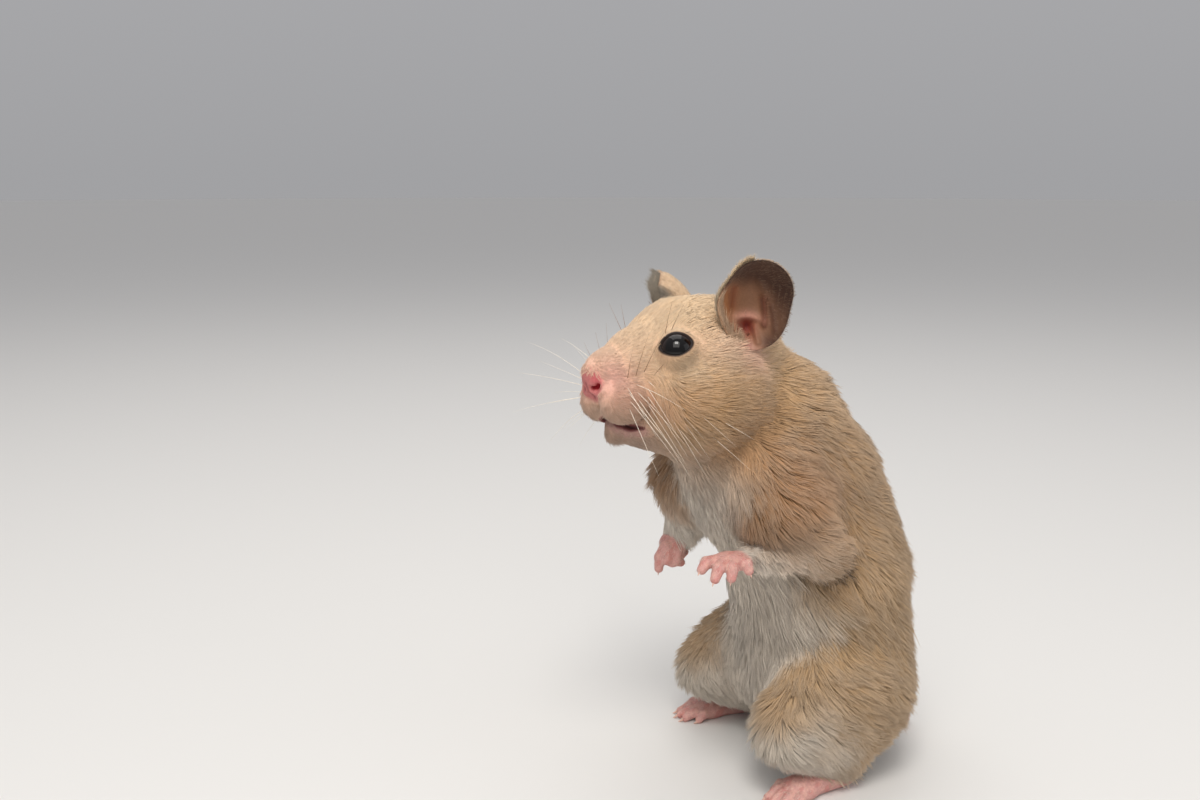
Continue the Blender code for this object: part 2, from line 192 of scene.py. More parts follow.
FOREHEAD = Coat(1.0, 3.0, head_vector(-1, 0, 0.1), (232, 200, 160))
MUZZLE = Coat(0.5, 1.9, head_vector(-1, 0, 0.1), (228, 190, 158))
BRIDGE = Coat(0.5, 1.9, head_vector(-1, 0, 0.15), (238, 208, 170))
NOSE = Coat(0.0, 0.5, head_vector(-1, 0, 0.1), (240, 190, 172))
LIP = Coat(0.4, 1.8, head_vector(-1, 0, -0.65), (204, 168, 144))
JAW = Coat(0.9, 2.6, head_vector(-1, 0, -0.3), (214, 186, 164))
CHEEK = Coat(1.7, 4.6, head_vector(-1, 0, -0.10), (206, 162, 114))
NAPE = Coat(2.4, 6.4, (1.0, 0, -0.25), (188, 150, 106))
SCRUFF = Coat(2.4, 7.2, (1.0, 0, -0.42), (194, 160, 122))
THROAT = Coat(2.2, 5.0, (0.75, 0, -0.8), (156, 120, 90))
CHEST = Coat(2.4, 6.8, (0.95, 0, -0.75), (182, 148, 110))
FLANK = Coat(2.6, 7.2, (0.8, 0, -1.0), (180, 148, 110))
RUMP = Coat(2.6, 7.2, (0.6, 0, -1.0), (178, 148, 112))
SHOULDER = Coat(2.1, 6.0, (0.8, 0, -0.85), (170, 126, 86))
ELBOW = Coat(1.6, 5.4, (0.95, 0, -0.5), (186, 152, 118))
WRIST = Coat(0.5, 2.8, (0.6, 0, -0.8), (252, 244, 232))
THIGH = Coat(2.0, 5.0, (0.9, 0, -0.6), (184, 152, 114))
SHANK = Coat(1.0, 3.2, (0.5, 0, -0.9), (206, 178, 146))
TAIL_ROOT = Coat(1.3, 4.0, (0.85, 0, -0.5), (210, 180, 146))
TAIL_TIP = Coat(0.25, 1.4, (0.85, 0, -0.5), (226, 172, 158))


def depth_of(coat):
    return coat.traits[0] if coat else 0.0


def egg(low, high, low_radii, high_radii, axes):
    """Rows of points round a closed bar: one half ball at low, the other at high, along axes' Z."""
    polar = np.concatenate((np.linspace(math.pi, math.pi / 2, 10), np.linspace(math.pi / 2, 0.0, 10)))
    ball = sphere(polar, circle(28))
    below = (ball[:10] * low_radii) @ axes.T + low
    above = (ball[10:] * high_radii) @ axes.T + high
    return np.concatenate((below, above))


class Ball:
    """An ellipsoid. Its radii run along X, Y and Z, or along the columns of axes."""

    def __init__(self, centre, radii, blend, axes=None, coat=None):
        self.centre, self.radii = np.array(centre, float), np.array(radii, float)
        self.axes = np.eye(3) if axes is None else np.array(axes)
        self.blend, self.coat = blend, coat

    def distance(self, points):
        local = (points - self.centre) @ self.axes
        scaled = np.linalg.norm(local / self.radii, axis=1)
        steepness = np.linalg.norm(local / self.radii**2, axis=1)
        return scaled * (scaled - 1.0) / np.maximum(steepness, 1e-9)

    def traits(self, points):
        return self.coat.traits[None, :]

    def rough(self):
        radii = self.radii - depth_of(self.coat)
        return egg(self.centre, self.centre, radii, radii, self.axes)


class Limb:
    """A tapered round bar with ball ends. Its coat may change from start to end."""

    def __init__(self, start, end, start_radius, end_radius, blend, coat=None, end_coat=None):
        self.start, self.end = np.array(start, float), np.array(end, float)
        self.start_radius, self.end_radius = start_radius, end_radius
        self.blend, self.coat, self.end_coat = blend, coat, end_coat or coat

    def share(self, points):
        along = self.end - self.start
        return np.clip((points - self.start) @ along / (along @ along), 0.0, 1.0)

    def distance(self, points):
        share = self.share(points)
        radius = self.start_radius + (self.end_radius - self.start_radius) * share
        return far(points, self.start + share[:, None] * (self.end - self.start)) - radius

    def traits(self, points):
        if self.end_coat is self.coat:
            return self.coat.traits[None, :]
        return mixed(self.coat.traits[None, :], self.end_coat.traits, self.share(points) ** 0.55)

    def rough(self):
        ends = ((self.start_radius, self.coat), (self.end_radius, self.end_coat))
        radii = [np.full(3, max(radius - depth_of(coat), 0.6)) for radius, coat in ends]
        turn = Vector(self.end - self.start).to_track_quat("Z", "Y").to_matrix()
        return egg(self.start, self.end, *radii, np.array(turn))


def head_shapes():
    ax = HEAD_AXES
    shapes = [
        Ball(head_point(7.5, 0, 1.5), (16.5, 13.0, 12.6), 4, ax, FOREHEAD),
        Limb(head_point(15, 0, 0.8), head_point(28.2, 0, -0.4), 10.6, 5.3, 5, FOREHEAD, MUZZLE),
        Ball(head_point(23.5, 0, 2.2), (5.0, 4.5, 5.0), 3, ax, BRIDGE),
        Ball(head_point(31.3, 0, -1.0), (2.4, 2.9, 2.9), 2.5, ax, NOSE),
        Limb(head_point(27.4, 0, -11.6), head_point(14, 0, -10.6), 2.7, 9.0, 3, LIP, JAW),
    ]
    for side in SIDES.values():
        shapes.append(Ball(head_point(27.6, 3.6, -5.4, side), (5.2, 4.0, 4.8), 2, ax, LIP))
        shapes.append(Ball(head_point(11, 7.4, -5.5, side), (12.5, 8.8, 10.6), 5, ax, CHEEK))
    return shapes


def trunk_shapes():
    lean = Matrix.Rotation(math.radians(-25), 3, "Y")
    return [
        Ball((20.7, 0, 22), (19.0, 22.5, 23.0), 8, None, RUMP),
        Ball((17.9, 0, 42), (19.8, 22.0, 23.0), 8, None, FLANK),
        Ball((10.7, 0, 60), (20.4, 18.5, 22.0), 8, lean, CHEST),
        Ball((5.0, 0, 75), (13.5, 14.5, 14.0), 8, None, SCRUFF),
        Limb((1.5, 0, 77), head_point(2, 0, -2), 13.6, 12.6, 8, NAPE),
        Limb((0.0, 0, 66), head_point(9, 0, -9), 14.0, 10.0, 8, THROAT),
    ]


def foreleg_shapes(name):
    side = SIDES[name]
    lean = Matrix.Rotation(math.radians(-20), 3, "Y")
    shoulder, elbow, wrist = SHOULDERS[name], ELBOWS[name], WRISTS[name]
    return [
        Ball((0.5, side * 13.5, 63), (10.5, 8.5, 13.0), 6, lean, SHOULDER),
        Limb(shoulder, elbow, SHOULDER_RADII[name], 5.8, 5, SHOULDER, ELBOW),
        Limb(elbow, wrist, 5.4, 2.5, 3, ELBOW, WRIST),
    ]


def hindleg_shapes(name):
    side = SIDES[name]
    return [
        Ball((12.0, side * 16.8, 16.0), (15.5, 9.5, 12.0), 10, None, THIGH),
        Limb(KNEES[name], (13.0, side * 18.5, 6.5), 6.3, 4.4, 6, THIGH, SHANK),
    ]


def body_shapes():
    shapes = trunk_shapes() + head_shapes()
    for name in SIDES:
        shapes += foreleg_shapes(name) + hindleg_shapes(name)
    start, end = SHOULDERS["right"], WRISTS["right"]
    arm = Limb(start, end, SHOULDER_RADII["right"], 3.3, 5, SHOULDER, WRIST)
    tail = Limb((33.0, 0, 8.0), (42.5, 0, 2.0), 4.5, 2.2, 3, TAIL_ROOT, TAIL_TIP)
    return shapes + [arm, tail]


def forepaw_shapes(name):
    """The palm and four fingers, each bent at one knuckle."""
    palm = np.array(PALMS[name])
    shapes = [Ball(palm, PALM_RADII[name], 1.5)]
    thick, middle, thin = FINGER_RADII
    for root, knuckle, tip in FINGERS[name]:
        shapes.append(Limb(palm + root, palm + knuckle, thick, middle, 0.7))
        shapes.append(Limb(palm + knuckle, palm + tip, middle, thin, 0.3))
    return shapes


def hindfoot_shapes(name):
    """A long flat foot with five toes."""
    side = SIDES[name]
    c, s = math.cos(FOOT_SPLAY), math.sin(FOOT_SPLAY)
    heel, ahead, outward = np.array(HEELS[name]), np.array((-c, side * s, 0.0)), np.array((s, side * c, 0.0))
    ball = heel + 11.5 * ahead - (0, 0, 1.1)
    turn = Matrix.Rotation(-side * FOOT_SPLAY, 3, "Z")
    shapes = [Limb(heel, ball, 3.2, 2.3, 2), Ball(ball, (3.6, 3.5, 2.2), 2, turn)]
    for place, reach in TOES:
        root = ball + place * 0.8 * outward + 0.8 * ahead
        bend = ball + place * 1.05 * outward + reach * 0.6 * ahead
        tip = ball + place * 1.2 * outward + reach * ahead - (0, 0, 1.1)
        shapes += [Limb(root, bend, 1.25, 1.1, 0.6), Limb(bend, tip, 1.1, 0.85, 0.4)]
    return shapes


BODY = body_shapes()
PAWS = {"forepaw_" + name: forepaw_shapes(name) for name in SIDES}
PAWS.update({"hindfoot_" + name: hindfoot_shapes(name) for name in SIDES})
EYES = {name: head_point(*EYE_PLACE, side) for name, side in SIDES.items()}


def smooth_join(a, b, blend):
    overlap = np.maximum(blend - np.abs(a - b), 0.0) / blend
    return np.minimum(a, b) - overlap**2 * blend / 4.0


def joined(shapes, points):
    value = shapes[0].distance(points)
    for shape in shapes[1:]:
        value = smooth_join(value, shape.distance(points), shape.blend)
    return value


def body_mix(points):
    """Distance to the coat's outer surface, and the traits of the coat there."""
    apart = np.stack([shape.distance(points) for shape in BODY], axis=1)
    value = apart[:, 0]
    for place, shape in enumerate(BODY[1:], start=1):
        value = smooth_join(value, apart[:, place], shape.blend)
    share = np.exp(-(apart - apart.min(axis=1, keepdims=True)) / COAT_SPREAD)
    share /= share.sum(axis=1, keepdims=True)
    traits = sum(share[:, i : i + 1] * shape.traits(points) for i, shape in enumerate(BODY))
    return value, traits


def paw_distance(points):
    """Distance to the nearest paw or foot, far from which it is only large."""
    value = np.full(len(points), 30.0)
    for shapes in PAWS.values():
        hand = isinstance(shapes[0], Ball)
        near = far(points, shapes[0 if hand else 1].centre) < (13 if hand else 24)
        if near.any():
            value[near] = np.minimum(value[near], joined(shapes, points[near]))
    return value


def skin_distance(points):
    value, traits = body_mix(points)
    value = value + traits[:, 0]
    for eye in EYES.values():
        value = smooth_join(value, far(points, eye) - EYE_ROOM, 1.6)
    return smooth_join(value, paw_distance(points), 1.2)


def sloped(distance, points):
    """A distance at the points, and the way in which it rises there."""
    value = distance(points)
    rises = [(distance(points + SLOPE_GAP * axis) - value) / SLOPE_GAP for axis in np.eye(3)]
    return value, np.stack(rises, axis=1)


# ---- The ears' own terms


# Where the rim leaves the oval: degrees from the front margin towards the top, spread and height.
RIM_SHAPE = (
    ((40, 36, -0.20), (106, 30, 0.04), (180, 20, -0.06))
    + ((-140, 22, 0.06), (-30, 40, -0.09), (-85, 30, -0.04))
)
# Ridges on the inner face, or grooves: start, end, width and height.
EAR_FOLDS = (
    ((-0.14, -0.37), (0.42, -0.37), 0.10, 0.85),  # over the canal
    ((0.05, 0.02), (0.15, 0.30), 0.22, -0.40),
    ((-0.30, 0.02), (-0.36, -0.44), 0.085, 0.95),  # ridges behind it
    ((-0.50, -0.10), (-0.64, -0.50), 0.07, 0.45),
    ((-0.12, 0.40), (-0.34, 0.10), 0.08, 0.35),
    ((0.57, 0.34), (0.56, -0.10), 0.08, -0.45),  # crease along the front
    ((0.74, 0.12), (0.68, -0.35), 0.10, 0.45),
    ((0.46, -0.58), (0.30, -0.86), 0.10, 0.80),  # flap before the canal
    ((-0.24, -0.80), (-0.12, -0.62), 0.09, 0.90),  # and behind it
    ((0.00, -0.84), (0.20, -0.86), 0.06, 0.45),
    *(((x, 0.35), (x - 0.06, -0.05), 0.025, 0.10) for x in (-0.74, -0.58, -0.42)),
)


def fold(a, l, start, end, width, height):
    """A soft ridge on the ear from start to end, or a groove where height is negative."""
    along = np.subtract(end, start)
    share = np.clip(((a - start[0]) * along[0] + (l - start[1]) * along[1]) / (along @ along), 0, 1)
    apart = np.hypot(a - start[0] - share * along[0], l - start[1] - share * along[1])
    return height * bell(apart, width)


def spot(a, l, place, size):
    """1 at place, fading to 0 at a distance of about size."""
    return np.exp(-(((a - place[0]) / size[0]) ** 2 + ((l - place[1]) / size[1]) ** 2))


def ear_folds(a, l):
    """How far the inner face stands out of the plain cup."""
    out = -2.1 * spot(a, l, (0.13, -0.66), (0.24, 0.20))  # canal
    for line in EAR_FOLDS:
        out += fold(a, l, *line)
    return out * (1.0 - step(np.hypot(a, l), 0.84, 0.98))


def ear_faces(ear, a, l):
    """The heights of the inner and outer face over the ear's plane. The rim curls in, above all
    in front."""
    plain = ear.cup(a, l) + step(np.hypot(a, l), 0.84, 1.0) * (0.12 + 0.5 * step(a, 0.1, 0.8))
    half = EAR_THICK * (1.0 + 0.9 * step(-l, 0.3, 1.0)) / 2
    inner = plain + half + ear_folds(a, l)
    return inner, np.minimum(plain - half, inner - 0.6)


class Ear:
    """A thin cup. Across runs to its front margin, along to its top, and out of its mouth."""

    def __init__(self, name):
        side = SIDES[name]
        self.centre = head_point(*EAR_PLACES[name], side)
        self.rise = unit(head_vector(*EAR_RISE, side))
        mouth = head_vector(*EAR_MOUTH, side)
        self.mouth = unit(mouth - (mouth @ self.rise) * self.rise)
        self.front = side * np.cross(self.rise, self.mouth)
        self.rim = RIM_SHAPE + (((72, 26, -0.14),) if name == "right" else ())  # lower in front

    def width(self, along):
        return EAR_WIDTH / 2 * (1.0 + EAR_TOP_SPREAD * along)

    def cup(self, across, along):
        return EAR_DEPTH * (across**2 + along**2 - 1.0)

    def local(self, points):
        offset = points - self.centre
        along = offset @ self.rise / (EAR_HEIGHT / 2)
        across = offset @ self.front / self.width(np.clip(along, -1.2, 1.2))
        return across, along, offset @ self.mouth

    def outline(self, across, along):
        """How far the rim stands from the middle in this direction; 1 would be a plain oval."""
        turn = np.arctan2(along, across)
        reach = np.ones_like(turn)
        for middle, spread, height in self.rim:
            apart = (turn - math.radians(middle) + math.pi) % (2 * math.pi) - math.pi
            reach += height * bell(apart, math.radians(spread))
        return reach

    def place(self, across, along, out):
        across, along = (across * self.width(along))[:, None], (along * EAR_HEIGHT / 2)[:, None]
        return self.centre + across * self.front + along * self.rise + out[:, None] * self.mouth


EARS = {name: Ear(name) for name in SIDES}


# ---- Meshes

EYE_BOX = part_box("eye_left")
SHIFT = np.array((EYE_BOX[0] + EYE_BOX[1]) / 2) / MM - EYES["left"]  # from the source's axes
for centre in EYES.values():
    centre -= EYE_DROP * HEAD_AXES[:, 2]


def to_frame(points):
    """Millimetres in the source's axes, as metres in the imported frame."""
    return (points + SHIFT) * MM


def new_object(name, mesh):
    obj = bpy.data.objects.new(name, mesh)
    bpy.context.scene.collection.objects.link(obj)
    return obj


def mesh_of(name, points, faces):
    """A mesh from corner points and lists of faces that have the same number of corners."""
    mesh = bpy.data.meshes.new(name)
    corners = np.concatenate([block.ravel() for block in faces])
    sizes = np.concatenate([np.full(len(block), block.shape[1]) for block in faces])
    mesh.vertices.add(len(points))
    mesh.vertices.foreach_set("co", np.asarray(points, np.float32).ravel())
    mesh.loops.add(len(corners))
    mesh.loops.foreach_set("vertex_index", corners.astype(np.int32))
    mesh.polygons.add(len(sizes))
    starts = np.concatenate(([0], np.cumsum(sizes)[:-1]))
    mesh.polygons.foreach_set("loop_start", starts.astype(np.int32))
    mesh.update(calc_edges=True)
    mesh.polygons.foreach_set("use_smooth", np.full(len(sizes), True))
    return mesh


def read(items, key, per, kind=float):
    """A value of each of a mesh's items, as rows of per numbers."""
    values = np.empty(len(items) * per, kind)
    items.foreach_get(key, values)
    return values.reshape(-1, per)


def tone(mesh, colours):
    """Stores a colour for each vertex."""
    rows = np.ones((len(mesh.vertices), 4), np.float32)
    rows[:, :3] = colours
    layer = mesh.color_attributes.new("tone", "FLOAT_COLOR", "POINT")
    layer.data.foreach_set("color", rows.ravel())


def grid_faces(rows, columns):
    """The corners of a grid that closes round its columns, the ones beside them, and its faces."""
    index = np.arange(rows * columns).reshape(rows, columns)
    beside = np.roll(index, -1, axis=1)
    quads = np.stack((index[:-1], beside[:-1], beside[1:], index[1:]), axis=-1).reshape(-1, 4)
    return index, beside, quads


def rough_skin():
    """One closed mesh round every shape, near the skin's surface."""
    eggs = [shape.rough() for shapes in (BODY, *PAWS.values()) for shape in shapes]
    size = np.full(3, EYE_ROOM)
    eggs += [egg(eye, eye, size, size, np.eye(3)) for eye in EYES.values()]
    index, _, quads = grid_faces(*eggs[0].shape[:2])
    faces = np.concatenate([quads + k * index.size for k in range(len(eggs))])
    mesh = mesh_of("rough", np.concatenate([one.reshape(-1, 3) for one in eggs]), (faces,))
    obj = new_object("rough", mesh)
    remesh = obj.modifiers.new("remesh", "REMESH")
    remesh.mode, remesh.voxel_size = "VOXEL", ROUGH_VOXEL
    graph = bpy.context.evaluated_depsgraph_get()
    fine = bpy.data.meshes.new_from_object(obj.evaluated_get(graph))
    bpy.data.objects.remove(obj, do_unlink=True)
    return fine


def settle(points, edges, moving, rounds):
    """Moves the vertices onto the skin's surface, and evens out the mesh on the way."""
    count = len(points)
    links = np.maximum(np.bincount(edges.ravel(), minlength=count), 1)
    for turn in range(rounds):
        if turn < rounds - 1:
            middle = np.zeros_like(points)
            for axis in range(3):
                for here, there in (edges.T, edges.T[::-1]):
                    middle[:, axis] += np.bincount(here, points[there, axis], count)
            even = points + 0.5 * (middle / links[:, None] - points)
            points[moving] = even[moving]
        here = points[moving]
        value, rise = sloped(skin_distance, here)
        steep = np.maximum(np.sum(rise**2, axis=1), 0.2)
        points[moving] = here - np.clip(value / steep, -1.5, 1.5)[:, None] * rise
    return points


def refined(mesh, chosen):
    """Cuts every edge between two chosen vertices once."""
    made = bmesh.new()
    made.from_mesh(mesh)
    made.verts.ensure_lookup_table()
    edges = [e for e in made.edges if chosen[e.verts[0].index] and chosen[e.verts[1].index]]
    bmesh.ops.subdivide_edges(made, edges=edges, cuts=1, use_grid_fill=True)
    bmesh.ops.triangulate(made, faces=[f for f in made.faces if len(f.verts) > 4])
    made.to_mesh(mesh)
    made.free()
    return mesh


def wants_detail(points):
    """Face, paws and feet."""
    local = head_local(points)
    face = (local[:, 0] > 12.0) & (local[:, 2] > -18.0) & (points[:, 2] > 70.0)
    return face | (paw_distance(points) < 1.0)


def wants_fine_detail(points):
    """Nose, mouth and lids."""
    local = head_local(points)
    nose = (local[:, 0] > 26.5) & (local[:, 2] > -13.0)
    mouth = (local[:, 0] > 20.5) & (np.abs(local[:, 2] + 10.8) < 2.0)
    lids = np.any([far(points, eye) < 4.6 for eye in EYES.values()], axis=0)
    return nose | mouth | lids


def eye_axes(name):
    """Forward, up and out along the way the eye looks, as columns."""
    side = SIDES[name]
    look = unit(head_vector(*EYE_LOOK, side))
    ahead = head_vector(1.0, 0.0, 0.03, side)
    ahead = unit(ahead - (ahead @ look) * look)
    return np.stack((ahead, np.cross(look, ahead) * -side, look), axis=1)


LID_WIDTH, LID_HEIGHT, LID_POWER = 3.03, 2.25, 1.75  # half sizes of the opening between the lids
LID_DROP = -0.55  # its middle lies this far above the eye's


def lid_measure(name, points):
    """Below 0 inside the opening between the lids, 0 on its edge, and above 0 outside."""
    local = (points - EYES[name]) @ eye_axes(name)
    near = (np.linalg.norm(local, axis=1) < 6.5) & (local[:, 2] > -1.0)
    x, y = np.abs(local[:, 0] / LID_WIDTH), np.abs((local[:, 1] - LID_DROP) / LID_HEIGHT)
    return np.where(near, (x**LID_POWER + y**LID_POWER) ** (1 / LID_POWER) - 1.0, 9.0)


def line_distance(points, line):
    """Distance to a line through several points, and how far along it the nearest place is."""
    best, where = np.full(len(points), 1e9), np.zeros(len(points))
    for i in range(len(line) - 1):
        along = line[i + 1] - line[i]
        share = np.clip((points - line[i]) @ along / (along @ along), 0.0, 1.0)
        apart = np.linalg.norm(points - line[i] - share[:, None] * along, axis=1)
        closer = apart < best
        best[closer] = apart[closer]
        where[closer] = (i + share[closer]) / (len(line) - 1)
    return best, where


def onto_skin(points):
    """The nearest places on the skin."""
    for _ in range(5):
        value, rise = sloped(skin_distance, points)
        points = points - value[:, None] * rise
    return points


# Lines on the face, forward, outward and up from the pivot.
FACE_LINES = {
    "mouth": ((30.9, 0.0, -9.2), (30.2, 1.3, -9.6), (28.4, 2.5, -10.3), (26.2, 3.4, -11.0))
    + ((24.1, 4.4, -11.3),),
    "nostril": ((33.4, 1.4, -3.0), (33.2, 2.2, -3.0), (32.8, 2.9, -2.3)),
    "wing": ((33.4, 0.9, -3.6), (33.0, 2.4, -4.2), (32.2, 3.9, -3.2), (32.4, 3.8, -1.6)),
    "philtrum": ((33.6, 0.0, -1.8), (33.3, 0.0, -4.0), (32.8, 0.0, -5.2)),
    "seam": ((31.8, 0.0, -6.6), (30.8, 0.0, -8.2)),
}


LINES = {
    (kind, side): onto_skin(np.array([head_point(*place, side) for place in line]))
    for kind, line in FACE_LINES.items()
    for side in SIDES.values()
}


def face_distance(points, kind):
    """Distance to the nearer one of a pair of lines on the face, and how far along it."""
    pairs = [line_distance(points, LINES[kind, side]) for side in SIDES.values()]
    nearer = pairs[0][0] < pairs[1][0]
    return tuple(np.where(nearer, pairs[0][i], pairs[1][i]) for i in range(2))


def relief(points):
    """How far the finished skin stands out of the blended surface."""
    philtrum, nostril, wing, seam = (
        face_distance(points, kind)[0] for kind in ("philtrum", "nostril", "wing", "seam")
    )
    mouth, where = face_distance(points, "mouth")
    height = -0.32 * bell(philtrum, 0.32) + 0.9 * bell(seam, 1.3)
    height += 0.40 * bell(wing, 0.55) - 1.1 * bell(nostril, 0.46)
    corner = step(where, 0.75, 1.0)
    height += (0.75 - 0.65 * corner) * bell(mouth, 1.3)
    height -= (0.85 - 0.60 * corner) * bell(mouth, 0.34)
    for name in SIDES:
        edge = lid_measure(name, points)
        height += 0.10 * bell(edge - 0.12, 0.16) - 1.1 * step(-edge, -0.05, 0.12)
    return height


def skin_mesh():
    mesh = rough_skin()
    points = read(mesh.vertices, "co", 3)
    points = settle(points, read(mesh.edges, "vertices", 2, int), np.ones(len(points), bool), 6)
    for choose in (wants_detail, wants_fine_detail):
        chosen = choose(points)
        mesh.vertices.foreach_set("co", points.ravel())
        mesh = refined(mesh, chosen)
        points = read(mesh.vertices, "co", 3)
        points = settle(points, read(mesh.edges, "vertices", 2, int), choose(points), 3)
    base = points.copy()
    points += relief(points)[:, None] * unit(sloped(skin_distance, points)[1])
    for ear in EARS.values():
        across, along, out = ear.local(points)
        inside = step(ear.outline(across, along) - np.hypot(across, along), -0.04, 0.06)
        behind = ear_faces(ear, across, along)[1] - 0.3
        push = np.where((out > behind) & (out < 8.0), (behind - out) * inside, 0.0)
        points += push[:, None] * ear.mouth
    points[:, 2] = np.maximum(points[:, 2], 0.02)
    mesh.vertices.foreach_set("co", points.ravel())
    mesh.update()
    return mesh, points, base


# ---- Colours

SPINE = ((0.0, 22.0), (40.0, 18.0), (60.0, 11.0), (90.0, 3.0))  # height, and X of the body's middle

PINK = srgb(208, 156, 148)
PALE_PINK = srgb(228, 178, 162)
NOSE_PINK = srgb(192, 112, 110)
NOSTRIL_RED = srgb(150, 24, 34)
# The mouth's dark purple: partly the lips' own colour, partly painted shade on the lower lip.
MOUTH_PURPLE = srgb(116, 66, 64)
LIP_MAUVE = srgb(168, 128, 122)
LID_BROWN = srgb(26, 13, 10)
WHITE = srgb(238, 226, 212)
BELLY = srgb(222, 212, 198)

# Patches of the head's coat: forward, outward and up from the pivot, size, colour and share.
HEAD_PATCHES = (
    ((20.0, 10.5, 9.5), 5.0, (246, 222, 188), 0.5),
    ((12.5, 13.2, 3.5), 5.2, (240, 204, 174), 0.7),
    ((6.5, 14.2, 2.5), 3.6, (238, 186, 166), 0.8),
    ((14.0, 13.5, -6.0), 6.0, (210, 164, 108), 0.6),
    ((8.0, 14.5, -13.0), 7.0, (172, 132, 92), 0.6),
    ((19.0, 12.0, 0.5), 3.0, (232, 206, 172), 0.6),
    ((31.0, 4.0, -1.0), 3.2, (240, 178, 164), 0.7),
    ((28.5, 5.8, -4.5), 3.2, (204, 146, 124), 0.6),
    ((23.5, 8.6, -5.5), 3.0, (204, 150, 116), 0.6),
    # Under the chin, a darker greyish patch: painted shade.
    ((26.0, 3.0, -14.0), 5.0, (160, 134, 120), 0.75),
)


def belly(points, normals):
    """1 on the pale belly and chest, 0 on the flanks and back."""
    x, y, z = points.T
    heights, middles = zip(*SPINE)
    turn = np.degrees(np.arctan2(np.abs(y), np.interp(z, heights, middles) - x))
    turn = turn + 7.0 * waves(points, 5.0, 21) + 4.0 * waves(points, 1.6, 23) + 16.0 * step(z, 48.0, 62.0)
    front = step(-turn, -78.0, -40.0) * step(-z, -74.0, -61.0) * step(-normals[:, 2], -0.75, -0.2)
    arms = np.min([joined(foreleg_shapes(name)[1:], points) for name in SIDES], axis=0)
    return front * step(arms, -0.5, 2.0)


def coat_colours(points, normals, traits):
    """The coat's colour, the same for hair and for the skin under it, with painted shade under the chin."""
    colours = traits[:, 5:8].copy()
    on_head = step(-joined(head_shapes(), points), -3.0, 1.0)
    for place, size, colour, share in HEAD_PATCHES:
        for side in SIDES.values():
            near = bell(far(points, head_point(*place, side)), size)
            colours = mixed(colours, srgb(*colour), share * on_head * near)
    colours = mixed(colours, BELLY, 0.85 * belly(points, normals))
    under = step(-normals[:, 2], 0.35, 0.85) * step(points[:, 2], 30.0, 8.0)
    return mixed(colours, WHITE, 0.6 * under)


def in_bowl(ear, points):
    """1 inside an ear's cup, 0 outside."""
    across, along, out = ear.local(points)
    inside = step(-np.hypot(across, along) / ear.outline(across, along), -1.06, -0.96)
    return inside * (out > ear.cup(across, along) - 2.0) * (out < 9.0)


def bare_masks(points):
    """Shares, from 0 to 1, of each kind of bare skin at the points."""
    local = head_local(points)
    pad = np.stack((local[:, 0] - 32.4, local[:, 1] * 0.82, (local[:, 2] + 2.0) * 0.86), axis=1)
    apart, where = face_distance(points, "mouth")
    corner = step(where, 0.7, 1.0)
    return {
        # Painted shade in the groove where the lips meet.
        "slit_shade": (1.0 - 0.7 * corner) * step(-apart, -0.42, -0.12),
        "lip": step(-face_distance(points - head_vector(0, 0, -1.1), "mouth")[0], -1.5, -0.7),
        "paws": step(-paw_distance(points), -0.9, 0.0),
        "nose": step(-np.linalg.norm(pad, axis=1), -3.5, -2.5),
        "groove": step(-face_distance(points, "philtrum")[0], -0.6, -0.2),
        "nostril": step(-face_distance(points, "nostril")[0], -0.52, -0.28),
        # A band along the mouth: the lips' purple skin, with painted shade on the lower lip.
        "mouth": step(-apart - 0.5 * corner, -1.15, -0.6),
        "lids": np.max([step(-lid_measure(name, points), -0.20, -0.04) for name in SIDES], axis=0),
        "bowl": np.max([in_bowl(ear, points) for ear in EARS.values()], axis=0),
    }


PALE_PLACES = ((8.0, 14.0, 2.5, 6.0), (31.5, 3.0, -1.5, 4.5), (27.5, 6.0, -5.0, 4.0))  # with sizes
MASK_COLOURS = (
    ("paws", PINK, 1.0),
    ("nose", NOSE_PINK, 0.95),
    # The philtrum's groove in darker nose pink: painted shade.
    ("groove", NOSE_PINK * 0.7, 0.8),
    ("nostril", NOSTRIL_RED, 1.0),
    ("lip", LIP_MAUVE, 0.7),
    # Partly the lips' purple, partly painted shade on the lower lip.
    ("mouth", MOUTH_PURPLE, 1.0),
    # The lips' groove, darkened almost to black: painted shade.
    ("slit_shade", MOUTH_PURPLE * 0.35, 0.9),
    ("lids", LID_BROWN, 1.0),
)


def skin_colours(points, normals, traits, masks):
    short = 1.0 - step(traits[:, 1], 1.5, 5.0)
    # Under the coat the skin is darker, most under long hair: partly the coat's darker base, partly painted
    # shade between the tufts.
    coat = coat_colours(points, normals, traits) * (0.74 + 0.22 * short)[:, None]
    colours = mixed(coat, PALE_PINK, 0.10 + 0.15 * short)
    for side in SIDES.values():
        for *place, size in PALE_PLACES:
            apart = far(points, head_point(*place, side))
            colours = mixed(colours, PALE_PINK, 0.7 * step(-apart, -size, -size / 4))
    for key, colour, share in MASK_COLOURS:
        colours = mixed(colours, colour, share * masks[key])
    upper = step(waves(points, 0.4, 37) + normals[:, 2], 0.4, 1.2)
    colours = mixed(colours, PALE_PINK, 0.45 * masks["paws"] * upper)
    # Scattered patches of deeper pink on the paws: partly the skin's uneven tone, partly painted shade of its
    # wrinkles.
    pink_and_wrinkle_shade = masks["paws"] * step(waves(points, 0.55, 31), 0.1, 0.9)
    colours = mixed(colours, srgb(196, 118, 112), 0.45 * pink_and_wrinkle_shade)
    blush = masks["nose"] * step(-far(head_local(points), (33.0, -3.4, -0.8)), -2.6, -0.6)
    return mixed(colours, srgb(204, 84, 92), 0.5 * blush)


# ---- The coat


